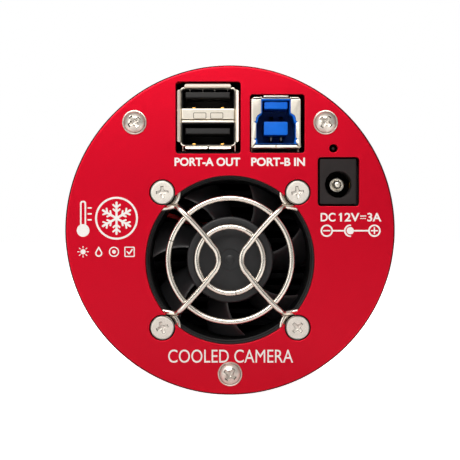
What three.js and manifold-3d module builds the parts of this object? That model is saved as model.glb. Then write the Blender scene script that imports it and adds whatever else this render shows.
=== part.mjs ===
// Cooled astronomy camera, modelled as the assembly that comes apart on a bench.
//
// Millimetres. The optical axis is Y: the telescope flange is the plane y = 0, and the rear cover faces -Y.
// +Z is up, the side with the sockets. The origin is the centre of the telescope flange.
// Every piece is one closed solid and one named mesh.

import * as THREE from "three";
import { mergeVertices } from "three/addons/utils/BufferGeometryUtils.js";
import Module from "manifold-3d";

const wasm = await Module();
wasm.setup();

// ---------------------------------------------------------------- driving dimensions

const LENGTH = 86; // telescope flange to the rear cover's outer face
const GAP = 0.1; // between pieces that rest on each other

const BODY_RADIUS = 39;
const BODY_BORE = 37;
const NECK_RADIUS = 31;
const CHAMBER_RADIUS = 24.5;
const SHOULDER_Y = -30; // where the main housing butts against the front housing

const COVER_THICKNESS = 2;
const COVER_SCREW_CIRCLE = 34;
const COVER_SCREW_ANGLES = [48.4, 131.6, 270];

const FAN_Z = -7.1; // the fan sits below the optical axis, to leave room for the main board
const FAN_SIZE = 40;
const FAN_DEPTH = 15;
const FAN_HOLE_SPACING = 32;
const FAN_DUCT = 19.1;
const FAN_BACK = 3.6; // depth of the fan's rear face inside the rear cover
const FAN_OPENING = 20;

const BLADES = 7;
const BLADE_ROOT = 10.4;
const BLADE_TIP = 18.5;
const BLADE_FRONT = 13.2; // depth of the trailing edge
const BLADE_BACK = 4.8; // depth of the leading edge

const WIRE_RADIUS = 0.7;
const GUARD_RINGS = [7.9, 14.7];
const GUARD_TOP = 0.2; // depth of the bent wires' centreline
const GUARD_HOOK = 2.75; // depth of the hooks' centreline, under the screw heads
const HOOK_RADIUS = 3.1;

const BOARD_TOP = 18.7; // the main board lies flat, above the fan and the heat sink
const BOARD_THICKNESS = 1.6;

const HUB_PORT = { x: -5.2, z: 26.85, width: 13.1, height: 13.9 }; // two stacked sockets
const DATA_PORT = { x: 10.9, z: 25.45, width: 11.9, height: 12.3 };
const POWER_JACK = { x: 25.6, z: 11.55, width: 8.6, height: 10.4, holeZ: 10.8, hole: 3.17 };
const LAMP = { x: 24.45, z: 19.3, radius: 0.5 };
const SHEET = 0.3; // sheet metal of the sockets' shells

const WINDOW_RADIUS = 16;
const WINDOW_FACE_Y = -2.9;
const WINDOW_THICKNESS = 2;
const SENSOR_Y = -6.5; // the light-sensitive face, which sets the back focus

const BASE_Y = -33.1; // front face of the heat sink's base
const BASE_THICKNESS = 6;
const FIN_TIP_Y = -65.8; // clear of the fan's lead
const POST_TIP_Y = -67.3; // where the fan rests

const FINE = 48; // sides of the large turned pieces
const COARSE = 24; // sides of the small ones

// ---------------------------------------------------------------- finishes

const RED = { color: 0xd5162c, roughness: 0.4, metalness: 0.6 };
const BLACK_ANODISED = { color: 0x17171a, roughness: 0.45, metalness: 0.5 };
const BLACK_PLASTIC = { color: 0x151516, roughness: 0.5, metalness: 0 };
const STEEL = { color: 0xd2ccc2, roughness: 0.3, metalness: 1 };
const NICKEL = { color: 0xdcd5c8, roughness: 0.25, metalness: 1 };
const BLUE_PLASTIC = { color: 0x0a4fae, roughness: 0.45, metalness: 0 };
const COPPER = { color: 0xb9744a, roughness: 0.35, metalness: 1 };
const BRASS = { color: 0xc9a456, roughness: 0.3, metalness: 1 };
const CERAMIC = { color: 0xe9e8e3, roughness: 0.6, metalness: 0 };
const BOARD_GREEN = { color: 0x12452b, roughness: 0.45, metalness: 0 };
const BOARD_BLACK = { color: 0x17181a, roughness: 0.4, metalness: 0 };
const CHIP_BLACK = { color: 0x1c1c1e, roughness: 0.6, metalness: 0 };
const RUBBER = { color: 0x1a1a1a, roughness: 0.8, metalness: 0 };
const GLASS = { color: 0xdfeee8, roughness: 0.02, metalness: 0 };
const FOAM = { color: 0x2a2a2c, roughness: 0.95, metalness: 0 };
const DESICCANT = { color: 0xf0efe9, roughness: 0.9, metalness: 0 };
const AMBER_FILM = { color: 0xa8641c, roughness: 0.4, metalness: 0 };
const CABLE_RED = { color: 0xb01818, roughness: 0.5, metalness: 0 };

// ---------------------------------------------------------------- shaping tools

const fromRear = (depth) => depth - LENGTH; // y of a plane at a depth inside the rear cover's outer face
const radians = THREE.MathUtils.degToRad;

// A three.js geometry as a solid for joining and cutting.
function solid(geometry) {
  const bare = geometry.index ? geometry.toNonIndexed() : geometry.clone();
  bare.deleteAttribute("normal");
  bare.deleteAttribute("uv");
  const merged = mergeVertices(bare, 1e-4);
  const corners = merged.index.array;
  const kept = [];
  for (let i = 0; i < corners.length; i += 3) {
    const [a, b, c] = corners.slice(i, i + 3);
    if (a !== b && b !== c && c !== a) kept.push(a, b, c);
  }
  const vertProperties = merged.attributes.position.array;
  return new wasm.Manifold(new wasm.Mesh({ numProp: 3, vertProperties, triVerts: new Uint32Array(kept) }));
}

const joined = (...pieces) => pieces.reduce((whole, piece) => whole.add(piece));
const cut = (body, ...tools) => tools.reduce((rest, tool) => rest.subtract(tool), body);

// Turned about the Y axis from a closed section of [radius, y] corners.
function turned(section, sides = COARSE, x = 0, z = 0) {
  const points = section.map(([radius, y]) => new THREE.Vector2(radius, y));
  if (THREE.ShapeUtils.isClockWise(points)) points.reverse();
  points.push(points[0].clone());
  return solid(new THREE.LatheGeometry(points, sides).translate(x, 0, z));
}

const ring = (inner, outer, yFront, yBack, sides, x = 0, z = 0) =>
  turned([[inner, yBack], [outer, yBack], [outer, yFront], [inner, yFront]], sides, x, z);

const rod = (radius, yFront, yBack, x = 0, z = 0, sides = 16) =>
  turned([[0, yBack], [radius, yBack], [radius, yFront], [0, yFront]], sides, x, z);

// A box from its limits.
function box([x0, x1], [yFront, yBack], [z0, z1]) {
  const size = [x1 - x0, yFront - yBack, z1 - z0];
  const centre = [(x0 + x1) / 2, (yFront + yBack) / 2, (z0 + z1) / 2];
  return solid(new THREE.BoxGeometry(...size).translate(...centre));
}

const around = (centre, width) => [centre - width / 2, centre + width / 2];

// An outline in X and Z, extruded from yFront back to yBack.
function slab(outline, yFront, yBack, curveSegments = 1) {
  const settings = { depth: yFront - yBack, bevelEnabled: false, curveSegments };
  return solid(new THREE.ExtrudeGeometry(outline, settings).rotateX(Math.PI / 2).translate(0, yFront, 0));
}

function roundedRectangle(x, z, width, height, radius) {
  const [x0, x1] = around(x, width);
  const [z0, z1] = around(z, height);
  const outline = new THREE.Shape();
  outline.moveTo(x0 + radius, z0);
  outline.lineTo(x1 - radius, z0);
  outline.absarc(x1 - radius, z0 + radius, radius, -Math.PI / 2, 0);
  outline.lineTo(x1, z1 - radius);
  outline.absarc(x1 - radius, z1 - radius, radius, 0, Math.PI / 2);
  outline.lineTo(x0 + radius, z1);
  outline.absarc(x0 + radius, z1 - radius, radius, Math.PI / 2, Math.PI);
  outline.lineTo(x0, z0 + radius);
  outline.absarc(x0 + radius, z0 + radius, radius, Math.PI, 1.5 * Math.PI);
  return outline;
}

// A wire or cable of six-sided section along a curve.
function wire(curve, radius, steps) {
  const section = new THREE.Shape();
  section.absarc(0, 0, radius, 0, 2 * Math.PI);
  const settings = { steps, extrudePath: curve, curveSegments: 3 };
  return solid(new THREE.ExtrudeGeometry(section, settings));
}

const camera = new THREE.Group();

// Adds a piece to the assembly as a named mesh with its own finish.
function add(name, body, finish) {
  const { vertProperties, triVerts } = body.getMesh();
  const geometry = new THREE.BufferGeometry();
  geometry.setAttribute("position", new THREE.BufferAttribute(vertProperties, 3));
  geometry.setIndex(new THREE.BufferAttribute(triVerts, 1));
  geometry.computeVertexNormals();
  const mesh = new THREE.Mesh(geometry, new THREE.MeshStandardMaterial(finish));
  mesh.name = name;
  camera.add(mesh);
}

// The four corners of the fan's hole pattern.
const fanCorners = [[-1, 1], [1, 1], [-1, -1], [1, -1]].map(([x, z]) => [
  (x * FAN_HOLE_SPACING) / 2,
  FAN_Z + (z * FAN_HOLE_SPACING) / 2,
]);

const coverScrewPlaces = COVER_SCREW_ANGLES.map((angle) => [
  COVER_SCREW_CIRCLE * Math.cos(radians(angle)),
  COVER_SCREW_CIRCLE * Math.sin(radians(angle)),
]);

// ---------------------------------------------------------------- screws

// A screw along Y whose head looks to the rear. Its cross recess is two crossed slots.
function screw({ headRadius, headHeight, chamfer, shank, length, recess }, headTopY, x, z) {
  const seat = headTopY + headHeight;
  const section = [
    [0, headTopY],
    [headRadius - chamfer, headTopY],
    [headRadius, headTopY + chamfer],
    [headRadius, seat],
    [shank, seat],
    [shank, seat + length],
    [0, seat + length],
  ];
  const depth = [headTopY + 1, headTopY - 1];
  const slot = (width, height) => box(around(x, width), depth, around(z, height));
  return cut(turned(section, 16, x, z), slot(recess, recess / 3), slot(recess / 3, recess));
}

const COVER_SCREW = { headRadius: 2.9, headHeight: 1.5, chamfer: 0.4, shank: 1.45, length: 9, recess: 3 };
const FAN_SCREW = { headRadius: 2.8, headHeight: 2, chamfer: 0.2, shank: 1.45, length: 22, recess: 2.8 };

function coverScrews() {
  coverScrewPlaces.forEach(([x, z], i) => {
    const top = fromRear(-COVER_SCREW.headHeight);
    add(`cover_screw_${i + 1}`, screw(COVER_SCREW, top, x, z), STEEL);
  });
}

function fanScrews() {
  const top = fromRear(GUARD_HOOK - WIRE_RADIUS - GAP - FAN_SCREW.headHeight);
  fanCorners.forEach(([x, z], i) => add(`fan_screw_${i + 1}`, screw(FAN_SCREW, top, x, z), STEEL));
}

// ---------------------------------------------------------------- rear cover

const PORT_CLEARANCE = { hub: 2.3, data: 0.85, power: 1 };

function rearCover() {
  const chamfer = 0.4;
  const inner = fromRear(COVER_THICKNESS);
  const disc = turned(
    [[0, inner], [BODY_RADIUS, inner], [BODY_RADIUS, fromRear(chamfer)], [BODY_RADIUS - chamfer, fromRear(0)], [0, fromRear(0)]],
    FINE,
  );
  const through = [inner + 1, fromRear(-1)];
  const window = (port, clearance, height = port.height + clearance) =>
    slab(roundedRectangle(port.x, port.z, port.width + clearance, height, 0.6), ...through);
  const holes = [
    rod(FAN_OPENING, ...through, 0, FAN_Z, FINE),
    ...fanCorners.map(([x, z]) => rod(FAN_SCREW.headRadius + 0.3, ...through, x, z, 20)),
    ...coverScrewPlaces.map(([x, z]) => rod(1.7, ...through, x, z, 12)),
    window({ ...HUB_PORT, z: 26.55 }, PORT_CLEARANCE.hub, 16.9),
    window({ ...DATA_PORT, x: 11.1, z: 25.05 }, PORT_CLEARANCE.data, 13.7),
    window(POWER_JACK, PORT_CLEARANCE.power),
    rod(1, ...through, LAMP.x, LAMP.z),
  ];
  add("rear_cover", cut(disc, ...holes), RED);
}

// ---------------------------------------------------------------- fan guard

// One bent wire of the guard: a hook round each of two screws, joined by a V whose point nears the fan's axis.
function guardWire(side) {
  const half = FAN_HOLE_SPACING / 2;
  const apex = { x: 2.7, bend: 4.5, leg: radians(46) };
  const at = (x, z, depth) => new THREE.Vector3(side * x, fromRear(depth), FAN_Z + z);
  const points = [];
  for (const turn of [290, 245, 200, 155, 110, 65, 20]) {
    const angle = radians(turn - 90);
    points.push(at(half + HOOK_RADIUS * Math.cos(angle), half + HOOK_RADIUS * Math.sin(angle), GUARD_HOOK));
  }
  const upper = [
    ...points.map((p) => p.clone()),
    at(half - 2.6, half - 3, GUARD_HOOK - 0.15),
    at(half - 4, half - 3.9, GUARD_TOP + 0.6),
    at(half - 5.2, half - 5, GUARD_TOP),
    at(6.4, 6.2, GUARD_TOP),
  ];
  const bendCentre = apex.x + apex.bend;
  const bend = [-1, -0.5, 0, 0.5, 1].map((share) => {
    const angle = share * apex.leg;
    return at(bendCentre - apex.bend * Math.cos(angle), -apex.bend * Math.sin(angle), GUARD_TOP);
  });
  const lower = upper.map((p) => new THREE.Vector3(p.x, p.y, 2 * FAN_Z - p.z)).reverse();
  return wire(new THREE.CatmullRomCurve3([...upper, ...bend, ...lower], false, "centripetal"), WIRE_RADIUS, 46);
}

function fanGuard() {
  const depth = GUARD_TOP + 2 * WIRE_RADIUS - 0.2; // the rings are welded under the bent wires
  const hoop = (radius, sides) => {
    const torus = new THREE.TorusGeometry(radius, WIRE_RADIUS, 6, sides).rotateX(Math.PI / 2);
    return solid(torus.translate(0, fromRear(depth), FAN_Z));
  };
  add("fan_guard", joined(hoop(GUARD_RINGS[0], 20), hoop(GUARD_RINGS[1], 28), guardWire(-1), guardWire(1)), STEEL);
}

// ---------------------------------------------------------------- fan

const HUB = { cap: 1.2, wall: 1, front: 14, back: 4.1 };
const MOTOR_BASE = { radius: 10.6, thickness: 2 };
const SHAFT_RADIUS = 0.75;
const BEARING = { outer: 2.4, inner: 0.85, back: 7.6 };
const BEARING_TUBE = 3.4;

function fanFrame() {
  const back = fromRear(FAN_BACK);
  const front = fromRear(FAN_BACK + FAN_DEPTH);
  const basePlane = front - MOTOR_BASE.thickness;
  const casing = cut(
    slab(roundedRectangle(0, FAN_Z, FAN_SIZE, FAN_SIZE, 3), front, back, 2),
    rod(FAN_DUCT, front + 1, back - 1, 0, FAN_Z, FINE),
    turned([[0, back + 0.6], [FAN_DUCT, back + 0.6], [FAN_DUCT + 0.4, back - 1], [0, back - 1]], FINE, 0, FAN_Z),
  );
  const strut = (angle) => {
    const arm = new THREE.BoxGeometry(FAN_DUCT - 4, MOTOR_BASE.thickness, 2.2);
    arm.translate(5 + (FAN_DUCT - 4) / 2, front - MOTOR_BASE.thickness / 2, 0).rotateY(radians(-angle));
    return solid(arm.translate(0, 0, FAN_Z));
  };
  const base = rod(MOTOR_BASE.radius, front, basePlane, 0, FAN_Z, COARSE);
  const tube = rod(BEARING_TUBE, basePlane + 0.5, fromRear(BEARING.back), 0, FAN_Z, 20);
  const bore = rod(BEARING.outer + GAP, front - 0.8, fromRear(BEARING.back - 1), 0, FAN_Z, 20);
  const holes = fanCorners.map(([x, z]) => rod(1.8, front + 1, back - 1, x, z, 12));
  const struts = [45, 135, 225, 315].map(strut);
  add("fan_frame", cut(joined(casing, base, tube, ...struts), bore, ...holes), BLACK_PLASTIC);
}

// A point of a blade's mean surface. along runs 0 to 1 from hub to tip, down 0 to 1 from leading to trailing edge.
// Angles turn from +X towards +Z, as seen from behind the camera.
function bladePoint(along, down) {
  const radius = THREE.MathUtils.lerp(BLADE_ROOT - 0.5, BLADE_TIP, along);
  const leading = 61 + 14.6 * along ** 1.4;
  const sweep = THREE.MathUtils.lerp(24, 28, along);
  const angle = radians(leading - sweep * (1 - (1 - down) ** 1.5));
  const y = fromRear(THREE.MathUtils.lerp(BLADE_BACK, BLADE_FRONT, down));
  return new THREE.Vector3(radius * Math.cos(angle), y, radius * Math.sin(angle));
}

// One blade: the mean surface thickened along its normals, as a closed grid.
function blade() {
  const [across, chord] = [3, 3];
  const [thick, step] = [0.45, 0.01];
  const positions = [];
  for (const sense of [1, -1]) {
    for (let i = 0; i <= across; i++) {
      for (let j = 0; j <= chord; j++) {
        const [u, v] = [i / across, j / chord];
        const alongU = bladePoint(Math.min(u + step, 1), v).sub(bladePoint(Math.max(u - step, 0), v));
        const alongV = bladePoint(u, Math.min(v + step, 1)).sub(bladePoint(u, Math.max(v - step, 0)));
        const normal = alongU.cross(alongV).normalize();
        positions.push(...bladePoint(u, v).addScaledVector(normal, (sense * thick) / (1 + u)).toArray());
      }
    }
  }
  const half = (across + 1) * (chord + 1);
  const index = [];
  const quad = (a, b, c, d) => index.push(a, b, c, a, c, d);
  const at = (i, j) => i * (chord + 1) + j;
  for (let i = 0; i < across; i++) {
    for (let j = 0; j < chord; j++) {
      const corners = [at(i, j), at(i + 1, j), at(i + 1, j + 1), at(i, j + 1)];
      quad(...corners);
      quad(...corners.map((k) => k + half).reverse());
    }
  }
  const rim = [];
  for (let i = 0; i < across; i++) rim.push(at(i, 0));
  for (let j = 0; j < chord; j++) rim.push(at(across, j));
  for (let i = across; i > 0; i--) rim.push(at(i, chord));
  for (let j = chord; j > 0; j--) rim.push(at(0, j));
  rim.forEach((a, k) => {
    const b = rim[(k + 1) % rim.length];
    quad(b, a, a + half, b + half);
  });
  const geometry = new THREE.BufferGeometry();
  geometry.setAttribute("position", new THREE.Float32BufferAttribute(positions, 3));
  geometry.setIndex(index);
  return geometry;
}

function fanImpeller() {
  const [cap, front] = [fromRear(HUB.back), fromRear(HUB.front)];
  const inside = BLADE_ROOT - HUB.wall;
  const hub = turned(
    [
      [0, cap + HUB.cap + 1],
      [2, cap + HUB.cap + 1],
      [2, cap + HUB.cap],
      [inside, cap + HUB.cap],
      [inside, front],
      [BLADE_ROOT, front],
      [BLADE_ROOT, cap + 0.5],
      [BLADE_ROOT - 0.5, cap],
      [0, cap],
    ],
    COARSE,
    0,
    FAN_Z,
  );
  const blades = Array.from({ length: BLADES }, (_, k) =>
    solid(blade().rotateY((2 * Math.PI * k) / BLADES).translate(0, 0, FAN_Z)),
  );
  const shaftSeat = rod(SHAFT_RADIUS + 0.05, cap + HUB.cap + 2, cap + HUB.cap - 0.4, 0, FAN_Z, 12);
  const inner = rod(inside - GAP, front + 1, cap + HUB.cap + 1.1, 0, FAN_Z, COARSE);
  add("fan_impeller", cut(joined(hub, ...blades), shaftSeat, inner), BLACK_PLASTIC);
}

function fanMotor() {
  const cap = fromRear(HUB.back);
  const magnet = { outer: BLADE_ROOT - HUB.wall - GAP, back: HUB.back + HUB.cap + 0.6 };
  const basePlane = FAN_BACK + FAN_DEPTH - MOTOR_BASE.thickness;
  add(
    "fan_magnet_ring",
    ring(magnet.outer - 1.1, magnet.outer, fromRear(HUB.front - 0.4), fromRear(magnet.back), COARSE, 0, FAN_Z),
    CHIP_BLACK,
  );
  add("fan_shaft", rod(SHAFT_RADIUS, fromRear(basePlane), cap + HUB.cap - 0.3, 0, FAN_Z, 12), STEEL);
  add(
    "fan_bearing",
    ring(BEARING.inner, BEARING.outer, fromRear(basePlane + 0.8), fromRear(BEARING.back + 0.2), 20, 0, FAN_Z),
    BRASS,
  );
  const [coreFront, coreBack] = [fromRear(13.4), fromRear(8.4)];
  const poles = [0, 90, 180, 270].map((angle) => {
    const pole = new THREE.BoxGeometry(3.6, coreFront - coreBack, 3).translate(5.2, (coreFront + coreBack) / 2, 0);
    const shoe = new THREE.BoxGeometry(1, coreFront - coreBack, 6.4).translate(6.9, (coreFront + coreBack) / 2, 0);
    const turn = (g) => solid(g.rotateY(radians(angle)).translate(0, 0, FAN_Z));
    return joined(turn(pole), turn(shoe));
  });
  const collar = ring(BEARING_TUBE + GAP, BEARING_TUBE + 1.4, coreFront, coreBack, 20, 0, FAN_Z);
  add("fan_stator", joined(collar, ...poles), COPPER);
}

// The fan's lead: from the motor base, round the post at the upper left, to a plug under the main board.
function fanLead() {
  const plane = fromRear(FAN_BACK + FAN_DEPTH + 0.75);
  const route = [[-5.5, 8.5], [-10.5, 9.1], [-15, 10.8], [-18.8, 11.6], [-20.6, 14], [-20.6, 17.5], [-19, 20.4], [-17.6, 22]];
  const curve = new THREE.CatmullRomCurve3(route.map(([x, z]) => new THREE.Vector3(x, plane, FAN_Z + z)));
  const plug = box(around(-17.5, 5), around(plane, 3.4).reverse(), [FAN_Z + 21, BOARD_TOP - BOARD_THICKNESS - GAP]);
  add("fan_lead", joined(wire(curve, 0.55, 18), plug), CABLE_RED);
}

// ---------------------------------------------------------------- sockets and indicator

// Two stacked sockets share one folded shell with a middle divider, flared lips and four solder legs.
function hubPort() {
  const [mouth, end, lipMouth] = [fromRear(0.7), fromRear(18), fromRear(0.1)];
  const { x, z, width, height } = HUB_PORT;
  const divider = [z - 1.4, z + 1.9];
  const inside = { x: around(x, width - 2 * SHEET), z: around(z, height - 2 * SHEET) };
  const [x0, x1] = around(x, width);
  const [z0, z1] = around(z, height);
  const lip = 0.8;
  const shell = joined(
    cut(box([x0, x1], [end, mouth], [z0, z1]), box(inside.x, [end + 1, mouth - 1], inside.z)),
    box(around(x, width - GAP), [fromRear(12), fromRear(0.4)], divider),
    box(around(x, width - 2), [mouth + 0.2, lipMouth], [z1 - SHEET, z1 + lip]),
    box(around(x, width - 2), [mouth + 0.2, lipMouth], [z0 - lip, z0 + SHEET]),
    box([x0 - lip, x0 + SHEET], [mouth + 0.2, lipMouth], around(z, height - 1.6)),
    box([x1 - SHEET, x1 + lip], [mouth + 0.2, lipMouth], around(z, height - 1.6)),
    ...[x0, x1 - 2 * SHEET].flatMap((leg) =>
      [3, 14].map((depth) =>
        box([leg, leg + 2 * SHEET], [fromRear(depth + 2), fromRear(depth)], [BOARD_TOP + GAP, z0 + SHEET]),
      ),
    ),
  );
  add("hub_port_shell", shell, NICKEL);
  const clear = (limits) => [limits[0] + GAP, limits[1] - GAP];
  const rear = [end - GAP, fromRear(12 + GAP)];
  const cavities = [[inside.z[0], divider[0]], [divider[1], inside.z[1]]];
  const core = joined(
    box(clear(inside.x), rear, clear(inside.z)),
    ...cavities.map((limits) => box(clear(inside.x), [fromRear(12.5), fromRear(9)], clear(limits))),
    ...cavities.map(([low]) => box(around(x, 10.4), [fromRear(9.5), fromRear(1.3)], [low + 2.4, low + 4.2])),
  );
  add("hub_port_core", core, BLACK_PLASTIC);
}

// Outline of the data socket's mouth: a square with chamfered upper corners, and a narrower step on top.
function dataMouth(margin) {
  const { x, z } = DATA_PORT;
  const lower = { half: 4.7 - margin, bottom: z - 5.2 + margin, shoulder: z + 0.1 };
  const upper = { half: 3.55 - margin, start: z + 2.2, top: z + 5.3 - margin };
  const outline = new THREE.Shape();
  outline.moveTo(x - lower.half, lower.bottom);
  outline.lineTo(x + lower.half, lower.bottom);
  outline.lineTo(x + lower.half, lower.shoulder);
  outline.lineTo(x + upper.half, upper.start);
  outline.lineTo(x + upper.half, upper.top);
  outline.lineTo(x - upper.half, upper.top);
  outline.lineTo(x - upper.half, upper.start);
  outline.lineTo(x - lower.half, lower.shoulder);
  outline.closePath();
  return outline;
}

function dataPort() {
  const { x, z, width, height } = DATA_PORT;
  const [mouth, end] = [fromRear(0.2), fromRear(17.5)];
  const insideX = around(x, width - 2 * SHEET);
  const insideZ = around(z, height - 2 * SHEET);
  const shell = joined(
    cut(
      box(around(x, width), [end, mouth], around(z, height)),
      box(insideX, [end + 1, mouth + SHEET], insideZ),
      slab(dataMouth(0), mouth + 1, mouth - 1),
    ),
    ...[x - width / 2, x + width / 2 - 2 * SHEET].map((leg) =>
      box([leg, leg + 2 * SHEET], [fromRear(8), fromRear(6)], [BOARD_TOP + GAP, z - height / 2 + SHEET]),
    ),
  );
  add("data_port_shell", shell, NICKEL);
  const front = mouth + SHEET + GAP;
  const floor = front + 8.5;
  const block = box([insideX[0] + GAP, insideX[1] - GAP], [end - GAP, front], [insideZ[0] + GAP, insideZ[1] - GAP]);
  const tongue = ([low, high]) => box(around(x, 5.5), [floor + 0.5, front + 0.6], [low, high]);
  const core = joined(
    cut(block, slab(dataMouth(0.2), floor, front - 1)),
    tongue([z - 2.85, z + 0.1]),
    tongue([z + 3.35, z + 4.95]),
  );
  add("data_port_core", core, BLUE_PLASTIC);
}

function powerJack() {
  const { x, z, width, height, holeZ, hole } = POWER_JACK;
  const [face, end, floor] = [fromRear(0.4), fromRear(14.2), fromRear(10.4)];
  const body = box(around(x, width), [end, face], around(z, height));
  const notch = box([x + 2, x + hole + 0.3], [fromRear(9), fromRear(3)], around(holeZ, 1.8));
  add("power_jack_body", cut(body, rod(hole, floor, face - 1, x, holeZ, 24), notch), BLACK_PLASTIC);
  const tip = fromRear(1.5);
  const pin = turned(
    [
      [0, tip], [0.7, tip], [1.05, tip + 0.5], [1.05, floor - 0.9],
      [1.7, floor - 0.7], [1.7, floor - GAP], [0, floor - GAP],
    ],
    16,
    x,
    holeZ,
  );
  add("power_jack_pin", pin, NICKEL);
  add("power_jack_contact", box([x + 2.75, x + 3.05], [fromRear(8.8), fromRear(3.2)], around(holeZ, 1.4)), BRASS);
}

function statusLamp() {
  const pipe = rod(LAMP.radius, fromRear(6), fromRear(0.9), LAMP.x, LAMP.z, 12);
  const seat = box(around(LAMP.x, 3), [fromRear(9), fromRear(5)], [BOARD_TOP + GAP, LAMP.z + 1.4]);
  add("status_lamp", joined(pipe, seat), CERAMIC);
}

// ---------------------------------------------------------------- electronics

function mainBoard() {
  const top = BOARD_TOP;
  const under = top - BOARD_THICKNESS;
  add("main_board", box([-30.2, 30.2], [-42, fromRear(3.4)], [under, top]), BOARD_BLACK);
  const chip = (name, x, y, width, depth, height) =>
    add(name, box(around(x, width), [y + depth / 2, y - depth / 2], [top + GAP, top + GAP + height]), CHIP_BLACK);
  chip("main_processor", -8, -56, 15, 15, 1.6);
  chip("buffer_memory", 8.5, -55, 9, 13, 1.1);
  chip("hub_controller", 20, -61, 8, 8, 1);
}

// The flat cable between the two boards, with a plug at each end.
function sensorFlex() {
  const [boardBack, plugZ] = [-10, 19.6];
  const side = new THREE.Shape();
  const corners = [
    [boardBack, plugZ - 1], [boardBack, plugZ + 1.2], [boardBack - 1.6, plugZ + 1.2], [boardBack - 1.6, plugZ + 0.5],
    [-44, plugZ + 0.5], [-44, plugZ + 1.4], [-48, plugZ + 1.4], [-48, BOARD_TOP + GAP], [-44, BOARD_TOP + GAP],
    [-44, plugZ], [boardBack - 1.6, plugZ], [boardBack - 1.6, plugZ - 1],
  ];
  side.setFromPoints(corners.map(([y, z]) => new THREE.Vector2(y, z)));
  const width = 14;
  const geometry = new THREE.ExtrudeGeometry(side, { depth: width, bevelEnabled: false });
  // The outline is drawn in Y and Z, and extruded along X.
  const turn = new THREE.Matrix4().set(0, 0, 1, -width / 2, 1, 0, 0, 0, 0, 1, 0, 0, 0, 0, 0, 1);
  add("sensor_flex", solid(geometry.applyMatrix4(turn)), AMBER_FILM);
}

function sensorStack() {
  const packageBack = SENSOR_Y - 1.7;
  const boardFront = packageBack - GAP;
  const board = rod(CHAMBER_RADIUS - 0.3, boardFront, boardFront - 1.6, 0, 0, COARSE);
  add("sensor_board", cut(board, box([-6.2, 6.2], [boardFront + 1, boardFront - 3], [-6.2, 6.2])), BOARD_GREEN);
  const tray = box(around(0, 20.4), [SENSOR_Y + 0.55, packageBack], around(0, 18.6));
  add("image_sensor", cut(tray, box(around(0, 15.6), [SENSOR_Y + 1, SENSOR_Y], around(0, 11.2))), CERAMIC);
  add("sensor_glass", box(around(0, 18), [SENSOR_Y + 1.1, SENSOR_Y + 0.6], around(0, 14.6)), GLASS);
}

// ---------------------------------------------------------------- cooling

const COLD_FINGER = { top: -8.3, step: -16.2, bottom: -22 };
const PELTIER = { cold: [-22.1, -23], core: [-23.1, -27.1], hot: [-27.2, -28.2], coldSize: 20, hotSize: 30 };

function coolingStack() {
  const { top, step, bottom } = COLD_FINGER;
  const finger = joined(
    box(around(0, 12), [top, step - 1], around(0, 12)),
    box(around(0, 20), [step, bottom], around(0, 20)),
  );
  add("cold_finger", finger, COPPER);
  const plate = (size, limits) => box(around(0, size), limits, around(0, size));
  add("peltier_cold_plate", plate(PELTIER.coldSize, PELTIER.cold), CERAMIC);
  add("peltier_hot_plate", plate(PELTIER.hotSize, PELTIER.hot), CERAMIC);
  const [upper, lower] = PELTIER.core;
  const middle = [upper - 1.5, upper - 2.3];
  const pellets = (count, pitch, limits) => {
    const places = Array.from({ length: count }, (_, i) => (i - (count - 1) / 2) * pitch);
    return places.flatMap((x) => places.map((z) => box(around(x, 2), limits, around(z, 2))));
  };
  const core = joined(
    plate(24, middle),
    ...pellets(3, 7, [upper, middle[0] - 0.4]),
    ...pellets(4, 6, [middle[1] + 0.4, lower]),
  );
  add("peltier_core", core, BRASS);
}

const FIN = { pitch: 3, thickness: 1.1, count: 14, halfWidth: 22 };

function heatSink() {
  const baseBack = BASE_Y - BASE_THICKNESS;
  const lowest = FAN_Z - ((FIN.count - 1) / 2) * FIN.pitch;
  const fins = Array.from({ length: FIN.count }, (_, i) =>
    box([-FIN.halfWidth, FIN.halfWidth], [baseBack + 0.5, FIN_TIP_Y], around(lowest + i * FIN.pitch, FIN.thickness)),
  );
  const posts = fanCorners.map(([x, z]) => box(around(x, 6), [baseBack + 0.5, POST_TIP_Y], around(z, 6)));
  const tapped = fanCorners.map(([x, z]) => rod(1.6, -57, POST_TIP_Y - 1, x, z, 12));
  const studHoles = coverScrewPlaces.map(([x, z]) => rod(1.8, BASE_Y + 1, baseBack - 1, x, z, 12));
  const body = joined(
    rod(36.4, BASE_Y, baseBack, 0, 0, FINE),
    box(around(0, 31), [PELTIER.hot[1] - GAP, BASE_Y - 0.5], around(0, 31)),
    ...fins,
    ...posts,
  );
  const flexSlot = box(around(0, 16), [BASE_Y + 1, baseBack - 1], [18.9, 21.3]);
  add("heat_sink", cut(body, flexSlot, ...tapped, ...studHoles), BLACK_ANODISED);
}

function insulatorAndDesiccants() {
  const [front, back] = [-11.8, BASE_Y + 0.2];
  const pocket = { circle: 19.4, radius: 4, depth: 4.2 };
  const places = [45, 135, 225, 315].map((angle) => [
    pocket.circle * Math.cos(radians(angle)),
    pocket.circle * Math.sin(radians(angle)),
  ]);
  const body = cut(
    rod(CHAMBER_RADIUS - 0.3, front, back, 0, 0, COARSE),
    box(around(0, 21), [front + 1, back - 1], around(0, 21)),
    box(around(0, 32), [PELTIER.cold[0], back - 1], around(0, 32)),
    box(around(0, 16), [front + 1, back - 1], [18.9, 21.3]),
    ...places.map(([x, z]) => rod(pocket.radius, front + 1, front - pocket.depth, x, z, 20)),
  );
  add("thermal_insulator", body, FOAM);
  places.forEach(([x, z], i) => {
    const tablet = rod(pocket.radius - 0.2, front - 0.2, front - pocket.depth + GAP, x, z, 20);
    add(`desiccant_tablet_${i + 1}`, tablet, DESICCANT);
  });
}

// ---------------------------------------------------------------- housings

const SLOT = { width: 2.4, front: -41, back: -66, perSide: 9, pitch: 8, centre: -13 };

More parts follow.
